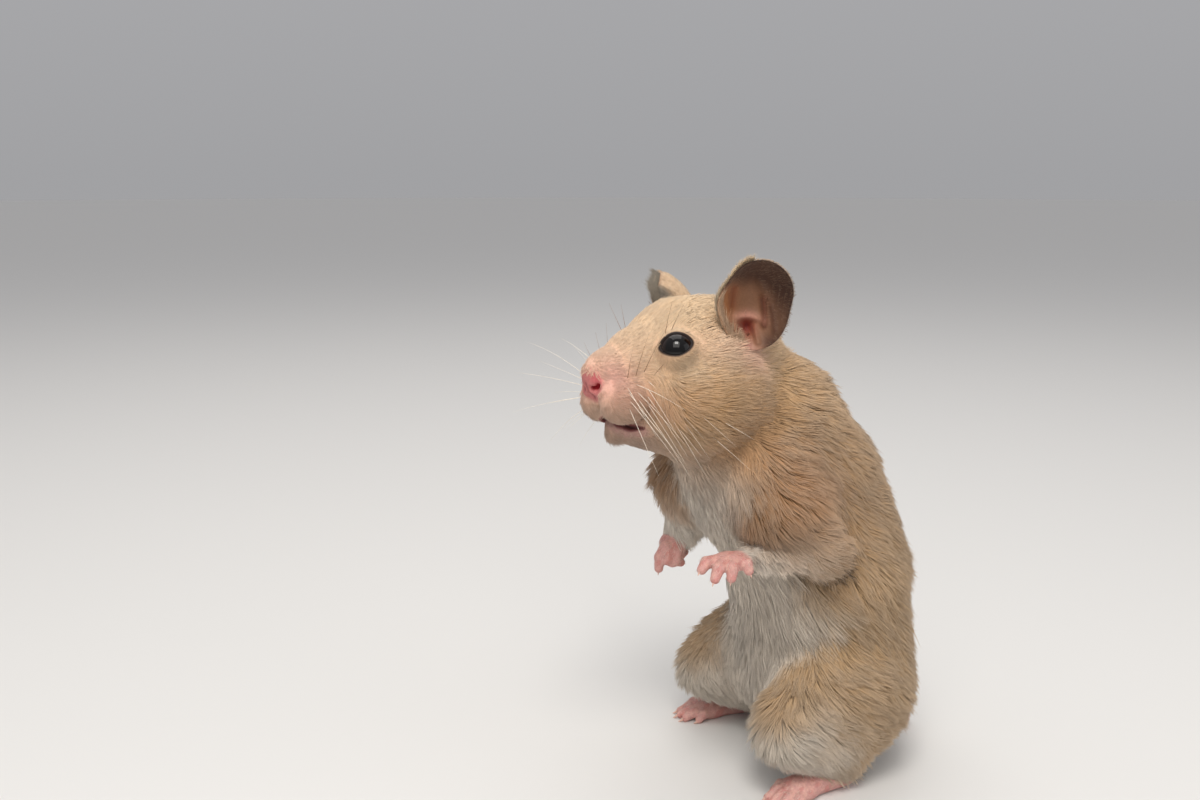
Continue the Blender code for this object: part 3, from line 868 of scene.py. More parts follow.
def combed(points, normals, traits):
    """The way the hair lies at each point, along the skin."""
    lie = traits[:, 2:5].copy()
    for name, side in SIDES.items():
        apart = far(points, EYES[name])
        lie += (0.4 * bell(apart, 4.6) / np.maximum(apart, 0.1))[:, None] * (points - EYES[name])
        near = bell(far(points, head_point(2.0, 13.5, 9.0, side)), 6.0)
        lie += near[:, None] * head_vector(0.0, 0.15, 1.1, side)
    against = step(-np.sum(unit(lie) * normals, axis=1), 0.55, 0.95)
    lie += (1.6 * against)[:, None] * (0.0, 0.0, -1.0)
    return unit(flat(lie, normals))


def waves(points, size, seed):
    """A smooth wavy value between about -1 and 1."""
    turns = np.random.default_rng(seed).normal(size=(5, 3))
    shifts = np.random.default_rng(seed + 1).uniform(0, 6.28, 5)
    return np.sin(points @ turns.T / size + shifts).mean(axis=1) * 2.2


def clumped(roots, paths, clump):
    """Draws each tuft towards the tip of a neighbour that leads its clump."""
    if not np.any(clump):
        return paths
    leaders = np.arange(0, len(roots), CLUMP)
    tree = kdtree.KDTree(len(leaders))
    for place, leader in enumerate(leaders):
        tree.insert(roots[leader], place)
    tree.balance()
    lead = paths[leaders[np.array([tree.find(root)[1] for root in roots])]]
    for stop, share in ((1, 0.35), (2, 1.0)):
        pull = np.reshape(clump * share, (-1, 1))
        paths[:, stop] += pull * (lead[:, stop] - paths[:, stop])
    return paths


def tufts(roots, normals, lie, length, width, rise, end, colour, dark, clump, shade=None):
    """Many tufts at once: their corners, the corners' colours, and the ways they face when light
    falls on them. Each has five corners: the root, three round its thickest place, and the tip."""
    count = len(roots)
    length, width, rise, end = (np.broadcast_to(value, count) for value in (length, width, rise, end))
    curl = RNG.normal(0.0, 0.08, count)
    turn = np.where(np.abs(end - rise) < 0.02, 0.02, end - rise)
    across = np.cross(normals, lie)
    stops = []
    for share in (0.0, WAIST, 1.0):
        here = rise + turn * share
        up = (np.cos(rise) - np.cos(here)) / turn
        ahead = (np.sin(here) - np.sin(rise)) / turn
        offset = ahead[:, None] * lie + up[:, None] * normals + (curl * share * share)[:, None] * across
        stops.append(roots - ROOT_DEPTH * normals + length[:, None] * offset)
    paths = clumped(roots, np.stack(stops, axis=1), clump)
    start = RNG.uniform(0, 2 * math.pi, count)
    ahead = unit(paths[:, 2] - paths[:, 0])
    side = unit(flat(unit(across), ahead))
    up = np.cross(ahead, side)
    points = np.empty((count, 5, 3))
    points[:, 0], points[:, 4] = paths[:, 0], paths[:, 2]
    for corner in range(3):
        angle = start + corner * 2 * math.pi / 3
        offset = np.cos(angle)[:, None] * side + np.sin(angle)[:, None] * up
        points[:, corner + 1] = paths[:, 1] + (width / 2)[:, None] * offset
    points[:, :, 2] = np.maximum(points[:, :, 2], 0.05)
    bright = np.clip(RNG.normal(1.0, 0.07, count), 0.75, 1.25)[:, None]
    shades = np.empty((count, 5, 3))
    # The root is darker: partly the coat's darker base, partly painted shade deep in the coat.
    shades[:, 0] = colour * np.reshape(dark, (-1, 1)) * bright
    shades[:, 1:4] = (colour * 0.98 * bright)[:, None]
    shades[:, 4] = mixed(colour * bright, WHITE, 0.22)
    outward = unit(points[:, 1:4] - points[:, 1:4].mean(axis=1, keepdims=True))
    facing = np.repeat((normals if shade is None else shade)[:, None], 5, axis=1)
    facing[:, 1:4] = unit(facing[:, 1:4] + 0.55 * outward)
    return points, shades, facing


TUFT_FACES = np.array(((0, 2, 1), (0, 3, 2), (0, 1, 3), (1, 2, 4), (2, 3, 4), (3, 1, 4)))
PATCH = 0.003  # size of a tuft's patch on its map
TUFT_MAP = np.array(
    [[((k + 0.5) / 3, 0.0), ((k + 1) / 3, 0.4), (k / 3, 0.4)] for k in range(3)]
    + [[(k / 3, 0.4), ((k + 1) / 3, 0.4), ((k + 0.5) / 3, 1.0)] for k in range(3)]
)


def tuft_mesh(name, points, shades, facing, places):
    """One mesh of all the tufts, each with its patch at its root's place on the map. Their shading
    follows the skin's, as a coat's does."""
    first = np.arange(len(points))[:, None, None] * 5
    faces = (first + TUFT_FACES).reshape(-1, 3)
    mesh = mesh_of(name, to_frame(points.reshape(-1, 3)), (faces,))
    tone(mesh, shades.reshape(-1, 3))
    mesh.normals_split_custom_set_from_vertices(facing.reshape(-1, 3))
    corner = (np.clip(places, 0.0, 1.0) * (0.996 - PATCH))[:, None, None, :] + 0.002
    layer = mesh.uv_layers.new(name="OFBake")
    layer.uv.foreach_set("vector", (corner + PATCH * TUFT_MAP).astype(np.float32).ravel())
    return new_object(name, mesh)


def unwrapped(region, points):
    """Round and along the body's own axis, for the map of a region's coat."""
    if region == "head":
        f, o, u = head_local(points).T
        return np.stack((np.arctan2(o, u + 2.0) / (2 * math.pi) + 0.5, f), axis=1)
    heights, middles = zip(*SPINE)
    x, y, z = points.T
    x = x - np.interp(z, heights, middles)
    if region != "trunk":
        x, y = x - np.median(x), y - np.median(y)
    return np.stack((np.arctan2(y, x) / (2 * math.pi) + 0.5, z), axis=1)


MOST_TUFTS = 32000  # in one piece, at six triangles each


def coat_pieces(region, roots, grown):
    """Splits a region's coat along its axis into pieces that aren't too large."""
    places = unwrapped(region, roots)
    order = np.argsort(places[:, 1])
    parts = math.ceil(len(order) / MOST_TUFTS)
    made = []
    for number, chosen in enumerate(np.array_split(order, parts), start=1):
        spot = places[chosen]
        low, high = spot.min(axis=0), spot.max(axis=0)
        name = f"coat_{region}_{number}" if parts > 1 else f"coat_{region}"
        spot = (spot - low) / np.maximum(high - low, 1e-6)
        made.append(tuft_mesh(name, *(rows[chosen] for rows in grown), spot))
    return made


def sprinkled(points, normals, faces, wanted, count):
    """Places spread over a mesh, with wanted per square millimetre as a share of count."""
    a, b, c = (points[faces[:, i]] for i in range(3))
    area = np.linalg.norm(np.cross(b - a, c - a), axis=1) / 2
    weight = np.cumsum(area * wanted[faces].mean(axis=1))
    face = np.searchsorted(weight, RNG.uniform(0, weight[-1], count))
    face = np.minimum(face, len(faces) - 1)
    s, t = np.sqrt(RNG.uniform(0, 1, count)), RNG.uniform(0, 1, count)
    shares = np.stack((1 - s, s * (1 - t), s * t), axis=1)[..., None]
    corners = faces[face]
    roots = (points[corners] * shares).sum(axis=1)
    return roots, unit((normals[corners] * shares).sum(axis=1))


REGIONS = ["trunk"] * 6 + ["head"] * 9 + ["foreleg_left"] * 3 + ["hindleg_left"] * 2
REGIONS += ["foreleg_right"] * 3 + ["hindleg_right"] * 2 + ["foreleg_right"] + ["trunk"]
COAT_TUFTS = 218000


def hair_width(length):
    return 0.060 + 0.020 * length


def grow_coat(points, normals, faces, masks, traits):
    """The body's whole coat, piece by piece."""
    hair = traits[:, 1]
    wanted = (3.4 + 3.0 * step(hair, 2.0, 5.0)) / (0.55 * hair * hair_width(hair))
    for key in ("paws", "nose", "groove", "nostril", "mouth", "lids", "bowl"):
        wanted = wanted * (1.0 - masks[key])
    wanted = wanted * (1.0 - 0.7 * step(-normals[:, 2], 0.8, 0.95) * (points[:, 2] < 6.0))
    roots, facing = sprinkled(points, normals, faces, wanted, COAT_TUFTS)
    _, traits = body_mix(roots)
    loose = 0.3 + 0.7 * step(traits[:, 1], 2.0, 5.5)
    near_eye = np.min([far(roots, eye) for eye in EYES.values()], axis=0)
    near_mouth = face_distance(roots, "mouth")[0]
    short = (0.45 + 0.55 * step(near_eye, 4.0, 7.5)) * (0.35 + 0.65 * step(near_mouth, 1.0, 3.2))
    lie = combed(roots, facing, traits)
    across = np.cross(facing, lie)
    sway = 0.26 * waves(roots, 2.2, 3) + 0.16 * waves(roots, 0.9, 5)
    lie = unit(lie + (loose * sway + RNG.normal(0, 0.10, len(roots)))[:, None] * across)
    length = traits[:, 1] * short * np.clip(RNG.normal(1.0, 0.16, len(roots)), 0.5, 1.5)
    end = np.radians(7.0) + RNG.normal(0, 0.08, len(roots))
    lift = np.clip((0.95 + 0.5 * loose) * traits[:, 0] / traits[:, 1] - np.sin(end), 0.08, 0.7)
    rise = np.arcsin(lift) + RNG.normal(0, 0.06, len(roots)) * loose
    colours = coat_colours(roots, facing, traits)
    colours *= (1.0 + 0.09 * loose * waves(roots, 2.6, 11) + 0.04 * waves(roots, 1.0, 13))[:, None]
    nearest = np.stack([shape.distance(roots) for shape in BODY], axis=1).argmin(axis=1)
    region = np.array(REGIONS)[nearest]
    growth = (roots, facing, lie, length, hair_width(length), rise, end, colours)
    # How dark the roots are, partly painted shade deep in the coat, and how much the tufts clump.
    growth += (0.96 - 0.38 * loose, 0.5 * loose)
    made = {}
    for name in dict.fromkeys(REGIONS):
        own = region == name
        made[name] = coat_pieces(name, roots[own], tufts(*(rows[own] for rows in growth)))
    return made


# ---- Materials


def set_inputs(node, values):
    for name, value in values.items():
        node.inputs[name].default_value = value


def grained(name, roughness, sheen, specular, grain, depth, vary):
    """A material that takes its colour from the vertices, broken up by a fine procedural grain."""
    material = bpy.data.materials.new(name)
    material.use_nodes = True
    nodes, link = material.node_tree.nodes, material.node_tree.links.new
    shader = nodes["Principled BSDF"]
    kinds = ("TexCoord", "VertexColor", "TexNoise", "MapRange", "VectorMath")
    place, colour, noise, span, shaded = (nodes.new("ShaderNode" + kind) for kind in kinds)
    colour.layer_name, shaded.operation = "tone", "SCALE"
    set_inputs(shader, {"Roughness": roughness, "Sheen Weight": sheen, "Specular IOR Level": specular})
    set_inputs(noise, {"Scale": grain, "Detail": 4.0})
    set_inputs(span, {"To Min": 1.0 - vary, "To Max": 1.0 + vary})
    link(place.outputs["Object"], noise.inputs["Vector"])
    link(noise.outputs["Fac"], span.inputs["Value"])
    link(colour.outputs["Color"], shaded.inputs[0])
    link(span.outputs["Result"], shaded.inputs["Scale"])
    link(shaded.outputs["Vector"], shader.inputs["Base Color"])
    if depth:
        bump = nodes.new("ShaderNodeBump")
        set_inputs(bump, {"Strength": 1.0, "Distance": depth})
        link(noise.outputs["Fac"], bump.inputs["Height"])
        link(bump.outputs["Normal"], shader.inputs["Normal"])
    return material


def look(obj, material):
    obj.data.materials.append(material)
    return obj


# Roughness, sheen and specular level, then the grain's fineness, depth and share of the colour.
HAIR = grained("hair", 0.6, 0.12, 0.22, 2500.0, 0.0, 0.10)
HIDE = grained("hide", 0.8, 0.1, 0.1, 1800.0, 0.00012, 0.25)
BARE = grained("bare_skin", 0.52, 0.0, 0.26, 2600.0, 0.00012, 0.24)
EARSKIN = grained("ear_skin", 0.58, 0.1, 0.3, 2600.0, 0.00006, 0.22)
RIM = grained("lid_margin", 0.7, 0.0, 0.06, 3000.0, 0.00003, 0.3)
EYEBALL = grained("eyeball", 0.04, 0.0, 0.40, 500.0, 0.0, 0.2)
HORN = grained("claw_horn", 0.35, 0.0, 0.5, 3000.0, 0.00001, 0.12)
WHISKER = grained("whisker", 0.35, 0.0, 0.5, 1500.0, 0.0, 0.1)


# ---- Eyes, ears, claws and whiskers


def grid_mesh(name, points, colours):
    """A mesh over a grid of points, rows by columns, closed round its columns."""
    _, _, faces = grid_faces(*points.shape[:2])
    mesh = mesh_of(name, to_frame(points.reshape(-1, 3)), (faces,))
    tone(mesh, colours.reshape(-1, 3))
    return new_object(name, mesh)


def painted(shape, *levels):
    """The same colour at every place of an array."""
    return np.zeros((*shape, 3)) + srgb(*levels)


def eyeball(name):
    """A glossy dark ball with a bulging cornea over a deep brown iris."""
    polar, turn = np.linspace(0.0, math.pi, 40), circle(64)
    offset = sphere(polar, turn) @ eye_axes(name).T
    polar = polar[:, None]
    radius = EYE_RADIUS * (1.0 + 0.025 * bell(polar, 0.75)) + 0 * turn
    points = EYES[name] + radius[..., None] * offset
    iris = step(polar, 0.62, 0.78) * (1.0 - step(polar, 1.0, 1.15)) + 0 * turn
    fibres = 1.0 + 0.25 * np.sin(turn * 23) * np.sin(turn * 37 + 1.0)
    colours = mixed(painted(iris.shape, 6, 4, 4), srgb(40, 24, 18), 0.6 * iris * fibres)
    ball = look(grid_mesh("eyeball_" + name, points, colours), EYEBALL)
    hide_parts("eye_" + name)
    return ball


def lid_rim(name):
    """The dark naked margin of both lids, one closed roll round the opening."""
    turn, around = circle(120), circle(10)[:, None, None]
    c, s = np.cos(turn), np.sin(turn)
    reach = (np.abs(c) ** LID_POWER + np.abs(s) ** LID_POWER) ** (-1 / LID_POWER)
    x, y = LID_WIDTH * reach * c, LID_HEIGHT * reach * s + LID_DROP
    z = np.sqrt(np.maximum((EYE_RADIUS + 0.03) ** 2 - x**2 - y**2, 0.4))
    middle = np.stack((x, y, z), axis=1)
    out = unit(middle)
    side = np.cross(unit(np.roll(middle, -1, axis=0) - np.roll(middle, 1, axis=0)), out)
    size = (0.17 + 0.02 * np.sin(turn * 2 + 0.5))[:, None]
    ring = middle + 1.25 * size * np.cos(around) * side + 0.9 * size * np.sin(around) * out
    points = EYES[name] + ring @ eye_axes(name).T
    points = np.concatenate((points, points[:1]))
    return look(grid_mesh("lid_rim_" + name, points, painted(points.shape[:2], 14, 8, 6)), RIM)


def ear_colours(a, l, inner, edge):
    """Skin of the ear: dark at the top and rear, warm in front, pink round the canal, with a painted
    highlight on the fold over the canal and painted shade in the front crease and deep in the canal.
    """
    colours = painted(a.shape, 142, 102, 76)
    for share, colour in (
        (0.95 * spot(a, l, (0.72, -0.02), (0.26, 0.50)), (160, 104, 62)),
        (0.75 * step(-a, 0.25, 0.75), (84, 58, 44)),
        (0.93 * step(0.9 * l - 0.35 * a, 0.02, 0.55), (58, 33, 22)),
        # Painted shade along the crease in front.
        (0.60 * fold(a, l, (0.57, 0.34), (0.56, -0.10), 0.13, 1.0), (122, 60, 34)),
        (0.75 * fold(a, l, (-0.30, 0.02), (-0.36, -0.44), 0.10, 1.0), (96, 44, 30)),
        (0.60 * fold(a, l, (-0.50, -0.10), (-0.64, -0.50), 0.08, 1.0), (76, 44, 32)),
        # A pale pink patch on the fold over the canal: partly the fold's paler skin, partly a painted
        # highlight.
        (0.90 * spot(a, l, (0.13, -0.36), (0.36, 0.09)), (206, 150, 130)),
        # The canal: its red skin, darker towards its middle with painted shade in the pit.
        (0.95 * spot(a, l, (0.12, -0.60), (0.26, 0.20)), (150, 62, 46)),
        (0.75 * spot(a, l, (0.12, -0.66), (0.12, 0.10)), (116, 34, 28)),
        (0.75 * spot(a, l, (-0.62, -0.76), (0.30, 0.16)), (58, 30, 22)),
        (0.80 * spot(a, l, (0.10, -0.98), (0.40, 0.12)), (200, 150, 134)),
        (0.65 * step(np.hypot(a, l), 0.88, 1.0) * step(l - 0.6 * a, -0.7, 0.1), (56, 34, 24)),
    ):
        colours = mixed(colours, srgb(*colour), share)
    for number in range(4):
        start, end = (-0.05, -0.88 - 0.035 * number), (0.20, -0.86 - 0.04 * number)
        colours = mixed(colours, srgb(128, 74, 62), fold(a, l, start, end, 0.012, 0.6))
    back = mixed(painted(a.shape, 168, 134, 106), srgb(76, 68, 58), edge * step(a, 0.45, 0.7))
    return np.where(inner[..., None], colours, back)


def pinna(name):
    """One ear: a thin cup with folds inside and a rounded rim."""
    ear = EARS[name]
    shares = ((0.0, 0.9, 56), (0.91, 1.0, 10), (1.0, 0.0, 30))
    steps = np.concatenate([np.linspace(*share) for share in shares])
    steps = np.delete(steps, 66)[:, None]  # the rim's middle, which is there twice
    a, l = steps * np.cos(circle(120)), steps * np.sin(circle(120))
    inner = (np.arange(len(steps)) < 66)[:, None] & (a == a)
    high, low = ear_faces(ear, a, l)
    edge = np.sqrt(np.clip(1.0 - steps**24, 0.0, 1.0)) + 0 * a
    out = (high + low) / 2 + np.where(inner, 0.5, -0.5) * (high - low) * edge
    reach = ear.outline(a, l)
    points = ear.place((a * reach).ravel(), (l * reach).ravel(), out.ravel()).reshape(*a.shape, 3)
    if name == "left":
        points, a, l, inner = points[:, ::-1], a[:, ::-1], l[:, ::-1], inner[:, ::-1]
    colours = ear_colours(a, l, inner, float(name == "right"))
    obj = look(grid_mesh("pinna_" + name, points, colours), EARSKIN)
    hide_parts("ear_" + name)
    return obj


def ear_surface(ear, a, l, inner, gap=0.01):
    """Points on one face of the ear, with the normals there."""

    def at(a, l):
        reach = ear.outline(a, l)
        return ear.place(a * reach, l * reach, ear_faces(ear, a, l)[0 if inner else 1])

    points = at(a, l)
    normals = unit(np.cross(at(a + gap, l) - points, at(a, l + gap) - points))
    facing = np.sum(normals * ear.mouth, axis=1) * (1.0 if inner else -1.0)
    return points, normals * np.sign(facing)[:, None]


# Bands of hair along the rim: first degree, degrees, crowding towards it, and radii.
EAR_BANDS = {"margin": (-62, 150, 1.5, 0.90, 0.995), "fringe": (-75, 85, 1.0, 0.86, 0.99)}


def ear_growth(kind, count):
    """Where hair of this kind grows on an ear, as places on its oval."""
    radius, turn = np.sqrt(RNG.uniform(0, 1, count)), RNG.uniform(0, 2 * math.pi, count)
    if kind in EAR_BANDS:
        start, reach, crowding, low, high = EAR_BANDS[kind]
        turn = math.radians(start) + math.radians(reach) * RNG.uniform(0, 1, count) ** crowding
        radius = RNG.uniform(low, high, count)
    if kind == "rim":
        radius, turn = 0.99, RNG.uniform(math.radians(60), math.radians(250), count)
    a, l = radius * np.cos(turn), radius * np.sin(turn)
    if kind == "inside":
        wanted = step(-a + 0.25 * l, 0.05, 0.6) + 0.5 * step(l, 0.3, 0.7)
        wanted *= 1.0 - spot(a, l, (0.1, -0.4), (0.38, 0.42))
        keep = RNG.uniform(0, 1, count) < wanted
        return a[keep], l[keep]
    return a, l


def hair_object(name, blocks):
    """One piece of fur from several lots of tufts, with their places on the map."""
    obj = look(tuft_mesh(name, *(np.concatenate(rows) for rows in zip(*blocks))), HAIR)
    return obj


# Hair on the ears: kind, on the inner face, count, length, width, rise, colour, how dark at the root
EAR_HAIR = (
    ("back", False, 5200, 1.7, 0.10, 0.14, (222, 190, 154), 0.85),
    ("inside", True, 4200, 1.2, 0.045, 0.24, (176, 140, 110), 0.9),
    ("rim", False, 1300, 0.40, 0.04, 0.25, (196, 170, 142), 0.9),
    ("margin", False, 3000, 2.2, 0.07, 0.24, (232, 206, 170), 0.9),
    ("fringe", True, 520, 2.4, 0.06, 0.35, (206, 170, 138), 0.9),
)


def ear_hair(name):
    """Short fur on the ear's back, and fine pale hairs inside it and along its rim."""
    ear = EARS[name]
    blocks = []
    for kind, inside, count, length, width, rise, colour, dark in EAR_HAIR:
        a, l = ear_growth(kind, count)
        roots, normals = ear_surface(ear, a, l, inside)
        outward = a[:, None] * ear.front + l[:, None] * ear.rise
        lie = {
            "back": 1.0 * ear.rise + 0.5 * outward,
            "inside": 1.0 * outward - 0.6 * ear.front + 0.15 * ear.rise,
            "rim": outward + 0.3 * ear.mouth,
            "margin": 1.0 * ear.rise + 0.25 * ear.front,
            "fringe": 1.0 * ear.rise - 0.5 * ear.front + 0.3 * ear.mouth,
        }[kind]
        lie = lie + RNG.normal(0, 0.14, (len(a), 3))
        if kind != "rim":
            lie = flat(lie, normals)
        colours = painted(a.shape, *colour)
        size = length * np.clip(RNG.normal(1.0, 0.2, len(a)), 0.5, 1.5)
        if kind == "inside":
            # The hairs inside take the ear skin's colours, its painted highlight and shade included.
            colours = mixed(colours, 1.5 * ear_colours(a, l, a == a, 0.0), 0.7)
        if kind == "back":
            colours = mixed(colours, srgb(70, 66, 58), 0.9 * (name == "right") * step(a, 0.5, 0.75))
            size *= 1.0 - 0.65 * step(np.hypot(a, l), 0.7, 0.95)
        if kind == "margin" and name == "right":
            colours = mixed(colours, srgb(84, 78, 68), 0.9)
        edge = step(np.hypot(a, l), 0.75, 0.95) * (kind != "inside")
        shade = normals + edge[:, None] * (1.3 * unit(outward) + 0.7 * ear.mouth) + (0.9 * inside) * ear.mouth
        grown = tufts(
            roots, normals, unit(lie), size, width, rise, rise * 0.6, colours, dark, 0.0, unit(shade)
        )
        blocks.append((*grown, np.stack(((a + 1) / 2, (l + 1) / 4 + 0.5 * (not inside)), axis=1)))
    return hair_object("coat_ear_" + name, blocks)


def tube(path, radii, sides):
    """Points and faces of a tapered tube along a path, closed at both ends."""
    along = unit(np.gradient(path, axis=0))
    side = unit(np.cross(along, (0.31, 0.52, 0.79)))
    up = np.cross(along, side)
    turn = circle(sides)[None, :, None]
    ring = np.cos(turn) * side[:, None] + np.sin(turn) * up[:, None]
    points = (path[:, None] + radii[:, None, None] * ring).reshape(-1, 3)
    index, beside, quads = grid_faces(len(path), sides)
    start, end = len(points), len(points) + 1
    caps = [(start, beside[0, k], index[0, k]) for k in range(sides)]
    caps += [(end, index[-1, k], beside[-1, k]) for k in range(sides)]
    return np.concatenate((points, path[:1], path[-1:])), quads, np.array(caps)


def tubes_object(name, made, material):
    """One piece from tubes, each with its colour."""
    points, quads, caps, rows, first = [], [], [], [], 0
    for (own, own_quads, own_caps), colour in made:
        points.append(own)
        quads.append(own_quads + first)
        caps.append(own_caps + first)
        rows.append(painted(own.shape[:1], *colour))
        first += len(own)
    mesh = mesh_of(name, to_frame(np.concatenate(points)), (np.concatenate(quads), np.concatenate(caps)))
    tone(mesh, np.concatenate(rows))
    obj = look(new_object(name, mesh), material)
    return obj


# Whiskers beside the nose grow in rows and columns. Each side's hang its own way: the direction
# of the first one forward, outward and up, and how it changes from row to row and column to column.
WHISKER_FANS = {
    "left": ((0.10, 0.62, -0.30), (-0.10, -0.02, -0.22), (-0.16, 0.0, -0.10)),
    "right": ((0.62, 0.55, 0.62), (0.04, 0.05, -0.34), (-0.13, 0.0, 0.03)),
}
# Others: place, direction, length, and whether they are brown.
LONE_WHISKERS = (
    ((14.5, 11.5, -12.0), (-0.75, 0.35, -0.75), 11.0, False),
    ((13.0, 12.0, -9.0), (-0.8, 0.5, -0.55), 8.0, False),
    ((26.5, 7.0, -0.5), (-0.05, 0.45, 0.9), 10.0, True),
    ((25.2, 7.4, 0.0), (-0.22, 0.45, 0.85), 11.5, True),
    ((27.8, 6.4, -0.6), (0.12, 0.5, 0.85), 8.5, True),
    ((23.8, 8.0, -1.0), (-0.45, 0.5, 0.72), 8.0, True),
    ((21.5, 8.0, 8.6), (0.1, 0.5, 0.85), 8.0, True),
    ((20.0, 8.6, 9.2), (-0.15, 0.5, 0.85), 7.0, True),
)


def whiskers():
    made = []
    for name, side in SIDES.items():
        first, by_row, by_column = (np.array(turn) for turn in WHISKER_FANS[name])
        grown = []
        for row in range(4):
            for column in range(4):
                place = (28.4 - 2.0 * column, 6.8 + 0.4 * column, -2.0 - 1.55 * row)
                turn = first + row * by_row + column * by_column + RNG.normal(0, 0.10, 3)
                length = (19.0 - 1.4 * row) * RNG.uniform(0.55, 1.15) * (1.0 - 0.04 * column)
                grown.append((place, turn, length, False, RNG.uniform(0.04, 0.24)))
        for place, turn, length, brown, sag in grown + [(*lone, 0.06) for lone in LONE_WHISKERS]:
            root = onto_skin(head_point(*place, side)[None])[0]
            way = unit(head_vector(*turn, side))
            share = np.linspace(0.0, 1.0, 10)[:, None]
            drop = head_vector(-0.35, 0.0, -1.0, side)
            path = root - 0.3 * way + length * (share * way + sag * share**2 * drop)
            hair = tube(path, 0.06 * (1.0 - 0.82 * share[:, 0]), 5)
            made.append((hair, (140, 104, 80) if brown else (244, 234, 216)))
    return tubes_object("whiskers", made, WHISKER)


def claws():
    made = []
    for key, shapes in PAWS.items():
        front = key.startswith("forepaw")
        reach, thick = (1.1, 0.34) if front else (1.7, 0.40)
        for finger in shapes:
            if not isinstance(finger, Limb) or finger.end_radius >= 1.0:
                continue
            way = unit(finger.end - finger.start)
            share = np.linspace(0.0, 1.0, 7)[:, None]
            bend = unit(way + (0, 0, -1.4)) if front else np.array((0, 0, -1.0))
            start = finger.end + 0.30 * way + np.array((0, 0, 0.25))
            path = start + reach * (share * way + 0.35 * share**2 * bend)
            path[:, 2] = np.maximum(path[:, 2], 0.3)
            made.append((tube(path, thick * (1.0 - 0.86 * share[:, 0] ** 1.3), 8), (222, 180, 162)))
    return tubes_object("claws", made, HORN)


def paw_hair():
    """Short pale hairs over the backs of the fingers and toes."""
    blocks = []
    for key, shapes in PAWS.items():
        for shape in shapes:
            if not isinstance(shape, Limb):
                continue
            count = 50 if key.startswith("forepaw") else 180 if shape is shapes[0] else 60
            share = RNG.uniform(0, 1, count)
            middle = shape.start + share[:, None] * (shape.end - shape.start)
            roots = middle + unit(RNG.normal(0, 1, (count, 3)) + (0, 0, 1.1)) * (shape.start_radius + 0.3)
            for _ in range(3):
                value, rise = sloped(lambda places, shapes=shapes: joined(shapes, places), roots)
                normals = unit(rise)
                roots = roots - value[:, None] * normals
            keep = (normals[:, 2] > -0.35) & (roots[:, 2] > 0.8)
            roots, normals = roots[keep], normals[keep]
            way = unit(shape.end - shape.start)
            lie = unit(way - (normals @ way)[:, None] * normals + RNG.normal(0, 0.12, normals.shape))
            length, colours = RNG.uniform(0.6, 1.3, len(roots)), painted(roots.shape[:1], 230, 204, 190)
            grown = tufts(roots, normals, lie, length, 0.055, 0.28, 0.15, colours, 0.85, 0.0)
            blocks.append((*grown, RNG.uniform(0, 1, (len(roots), 2))))
    return hair_object("coat_paws", blocks)


# ---- Assembly

FLESH = ["head", "neck", "trunk", "tail"] + [
    f"{kind}_{name}" for kind in ("foreleg", "hindleg", "forepaw", "hindfoot") for name in SIDES
]


def build_hamster():
    mesh, points, base = skin_mesh()
    normals = read(mesh.vertex_normals, "vector", 3)
    mesh.calc_loop_triangles()
    faces = read(mesh.loop_triangles, "vertices", 3, int)
    _, traits = body_mix(base)
    masks = bare_masks(base)
    tone(mesh, skin_colours(points, normals, traits, masks))
    naked = np.max([masks[key] for key in ("paws", "nose", "groove", "nostril", "mouth", "lids")], axis=0)
    mesh.materials.append(HIDE)
    mesh.materials.append(BARE)
    starts = read(mesh.polygons, "loop_start", 1, int)
    corners = read(mesh.loops, "vertex_index", 1, int)[starts]
    mesh.polygons.foreach_set("material_index", (naked[corners] > 0.5).astype(np.int32).ravel())
    mesh.polygons.foreach_set("use_smooth", np.full(len(mesh.polygons), True))
    mesh.vertices.foreach_set("co", to_frame(points).ravel())
    mesh.update()
    skin = new_object("skin", mesh)
    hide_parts(*FLESH)
    pieces = [skin]
    for region, coats in grow_coat(points, normals, faces, masks, traits).items():
        for coat in coats:
            look(coat, HAIR)
        pieces += coats
    for name in SIDES:
        pieces += [eyeball(name), lid_rim(name), pinna(name), ear_hair(name)]
    pieces += [whiskers(), claws(), paw_hair()]
    for piece in pieces:
        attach(piece, "root")


def build_floor():
    made = bmesh.new()
    bmesh.ops.create_circle(made, cap_ends=True, segments=96, radius=FLOOR_RADIUS)
    mesh = bpy.data.meshes.new("floor")
    made.to_mesh(mesh)
    made.free()
    floor = new_object("floor", mesh)
    material = bpy.data.materials.new("pale_floor")
    material.use_nodes = True
    shader = material.node_tree.nodes["Principled BSDF"]
    set_inputs(shader, {"Base Color": (0.74, 0.73, 0.71, 1.0), "Roughness": 0.8})
    mesh.materials.append(material)


# Lights: name, place, power, width, height and colour. All of them face the same spot.
LIGHT_AIM = Vector((-0.01, 0.0, 0.07))
LIGHTS = (
    ("key", (-0.27, -0.46, 0.60), 1.9, 0.55, 0.50, (1.0, 0.96, 0.90)),
    ("window", (-0.17, -0.29, 0.60), 1.6, 0.22, 0.19, (1.0, 0.97, 0.93)),
    ("fill", (0.60, -0.45, 0.30), 0.6, 0.6, 0.6, (0.96, 0.97, 1.0)),
    ("top", (0.05, 0.25, 0.75), 1.6, 0.6, 0.6, (1.0, 0.97, 0.93)),
)


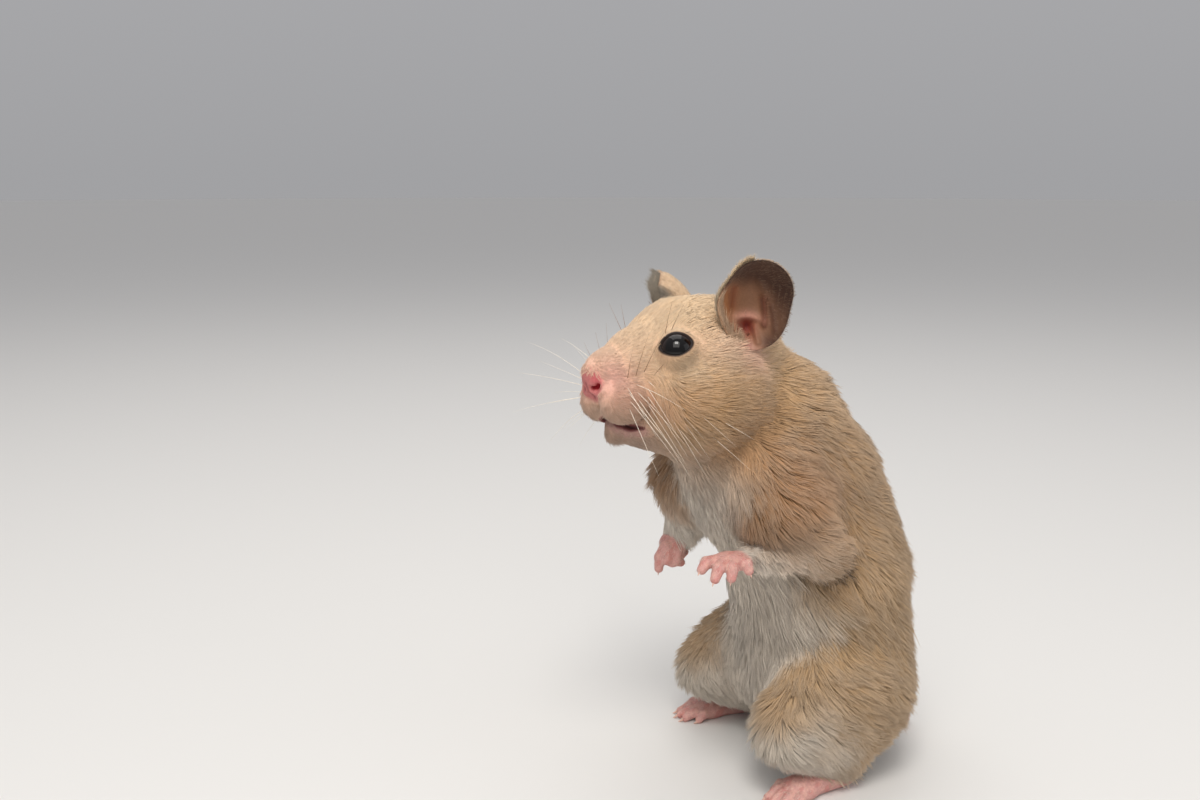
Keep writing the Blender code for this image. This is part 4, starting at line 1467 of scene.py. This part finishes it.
def build_lights():
    world = bpy.data.worlds.new("studio")
    world.use_nodes = True
    nodes, link = world.node_tree.nodes, world.node_tree.links.new
    sky = nodes["Background"]
    kinds = ("TexCoord", "SeparateXYZ", "MapRange")
    way, parts, span = (nodes.new("ShaderNode" + kind) for kind in kinds)
    set_inputs(sky, {"Color": (0.97, 0.97, 1.0, 1.0)})
    set_inputs(span, {"From Min": 0.0, "From Max": 0.9, "To Min": 0.37, "To Max": 0.54})
    link(way.outputs["Generated"], parts.inputs["Vector"])
    link(parts.outputs["Z"], span.inputs["Value"])
    link(span.outputs["Result"], sky.inputs["Strength"])
    bpy.context.scene.world = world
    bpy.context.scene.view_settings.view_transform = "Standard"
    for name, place, power, width, height, colour in LIGHTS:
        data = bpy.data.lights.new(name, "AREA")
        data.shape, data.size, data.size_y = "RECTANGLE", width, height
        data.energy, data.color = power, colour
        light = new_object(name, data)
        light.location = place
        light.rotation_euler = (LIGHT_AIM - Vector(place)).to_track_quat("-Z", "Y").to_euler()


VIEW_TURN = math.radians(-22.0)  # the camera stands this far round towards the animal's face
VIEW_PITCH = math.radians(11.0)  # and looks down by this much
VIEW_DEPTH = 245.0  # from the camera to the middle of the chest, along the view
VIEWED = (2.0, 0.0, 60.0)  # the middle of the chest
CHEST_ASIDE, CHEST_BELOW = 31.92, 18.90  # the chest's place from the middle of the view


def build_camera():
    c, s = math.cos(VIEW_TURN), math.sin(VIEW_TURN)
    level, rise = math.cos(VIEW_PITCH), math.sin(VIEW_PITCH)
    back, right = np.array((s * level, -c * level, rise)), np.array((c, s, 0.0))
    up = np.cross(back, right)
    place = to_frame(np.array(VIEWED) + back * VIEW_DEPTH - right * CHEST_ASIDE + up * CHEST_BELOW)
    data = bpy.data.cameras.new("camera")
    data.lens, data.sensor_width, data.clip_start = 35.0, 36.0, 0.01
    camera = new_object("camera", data)
    turn = Matrix(np.stack((right, up, back), axis=1).tolist()).to_4x4()
    camera.matrix_world = Matrix.Translation(place) @ turn
    bpy.context.scene.camera = camera


build_hamster()
build_floor()
build_lights()
build_camera()
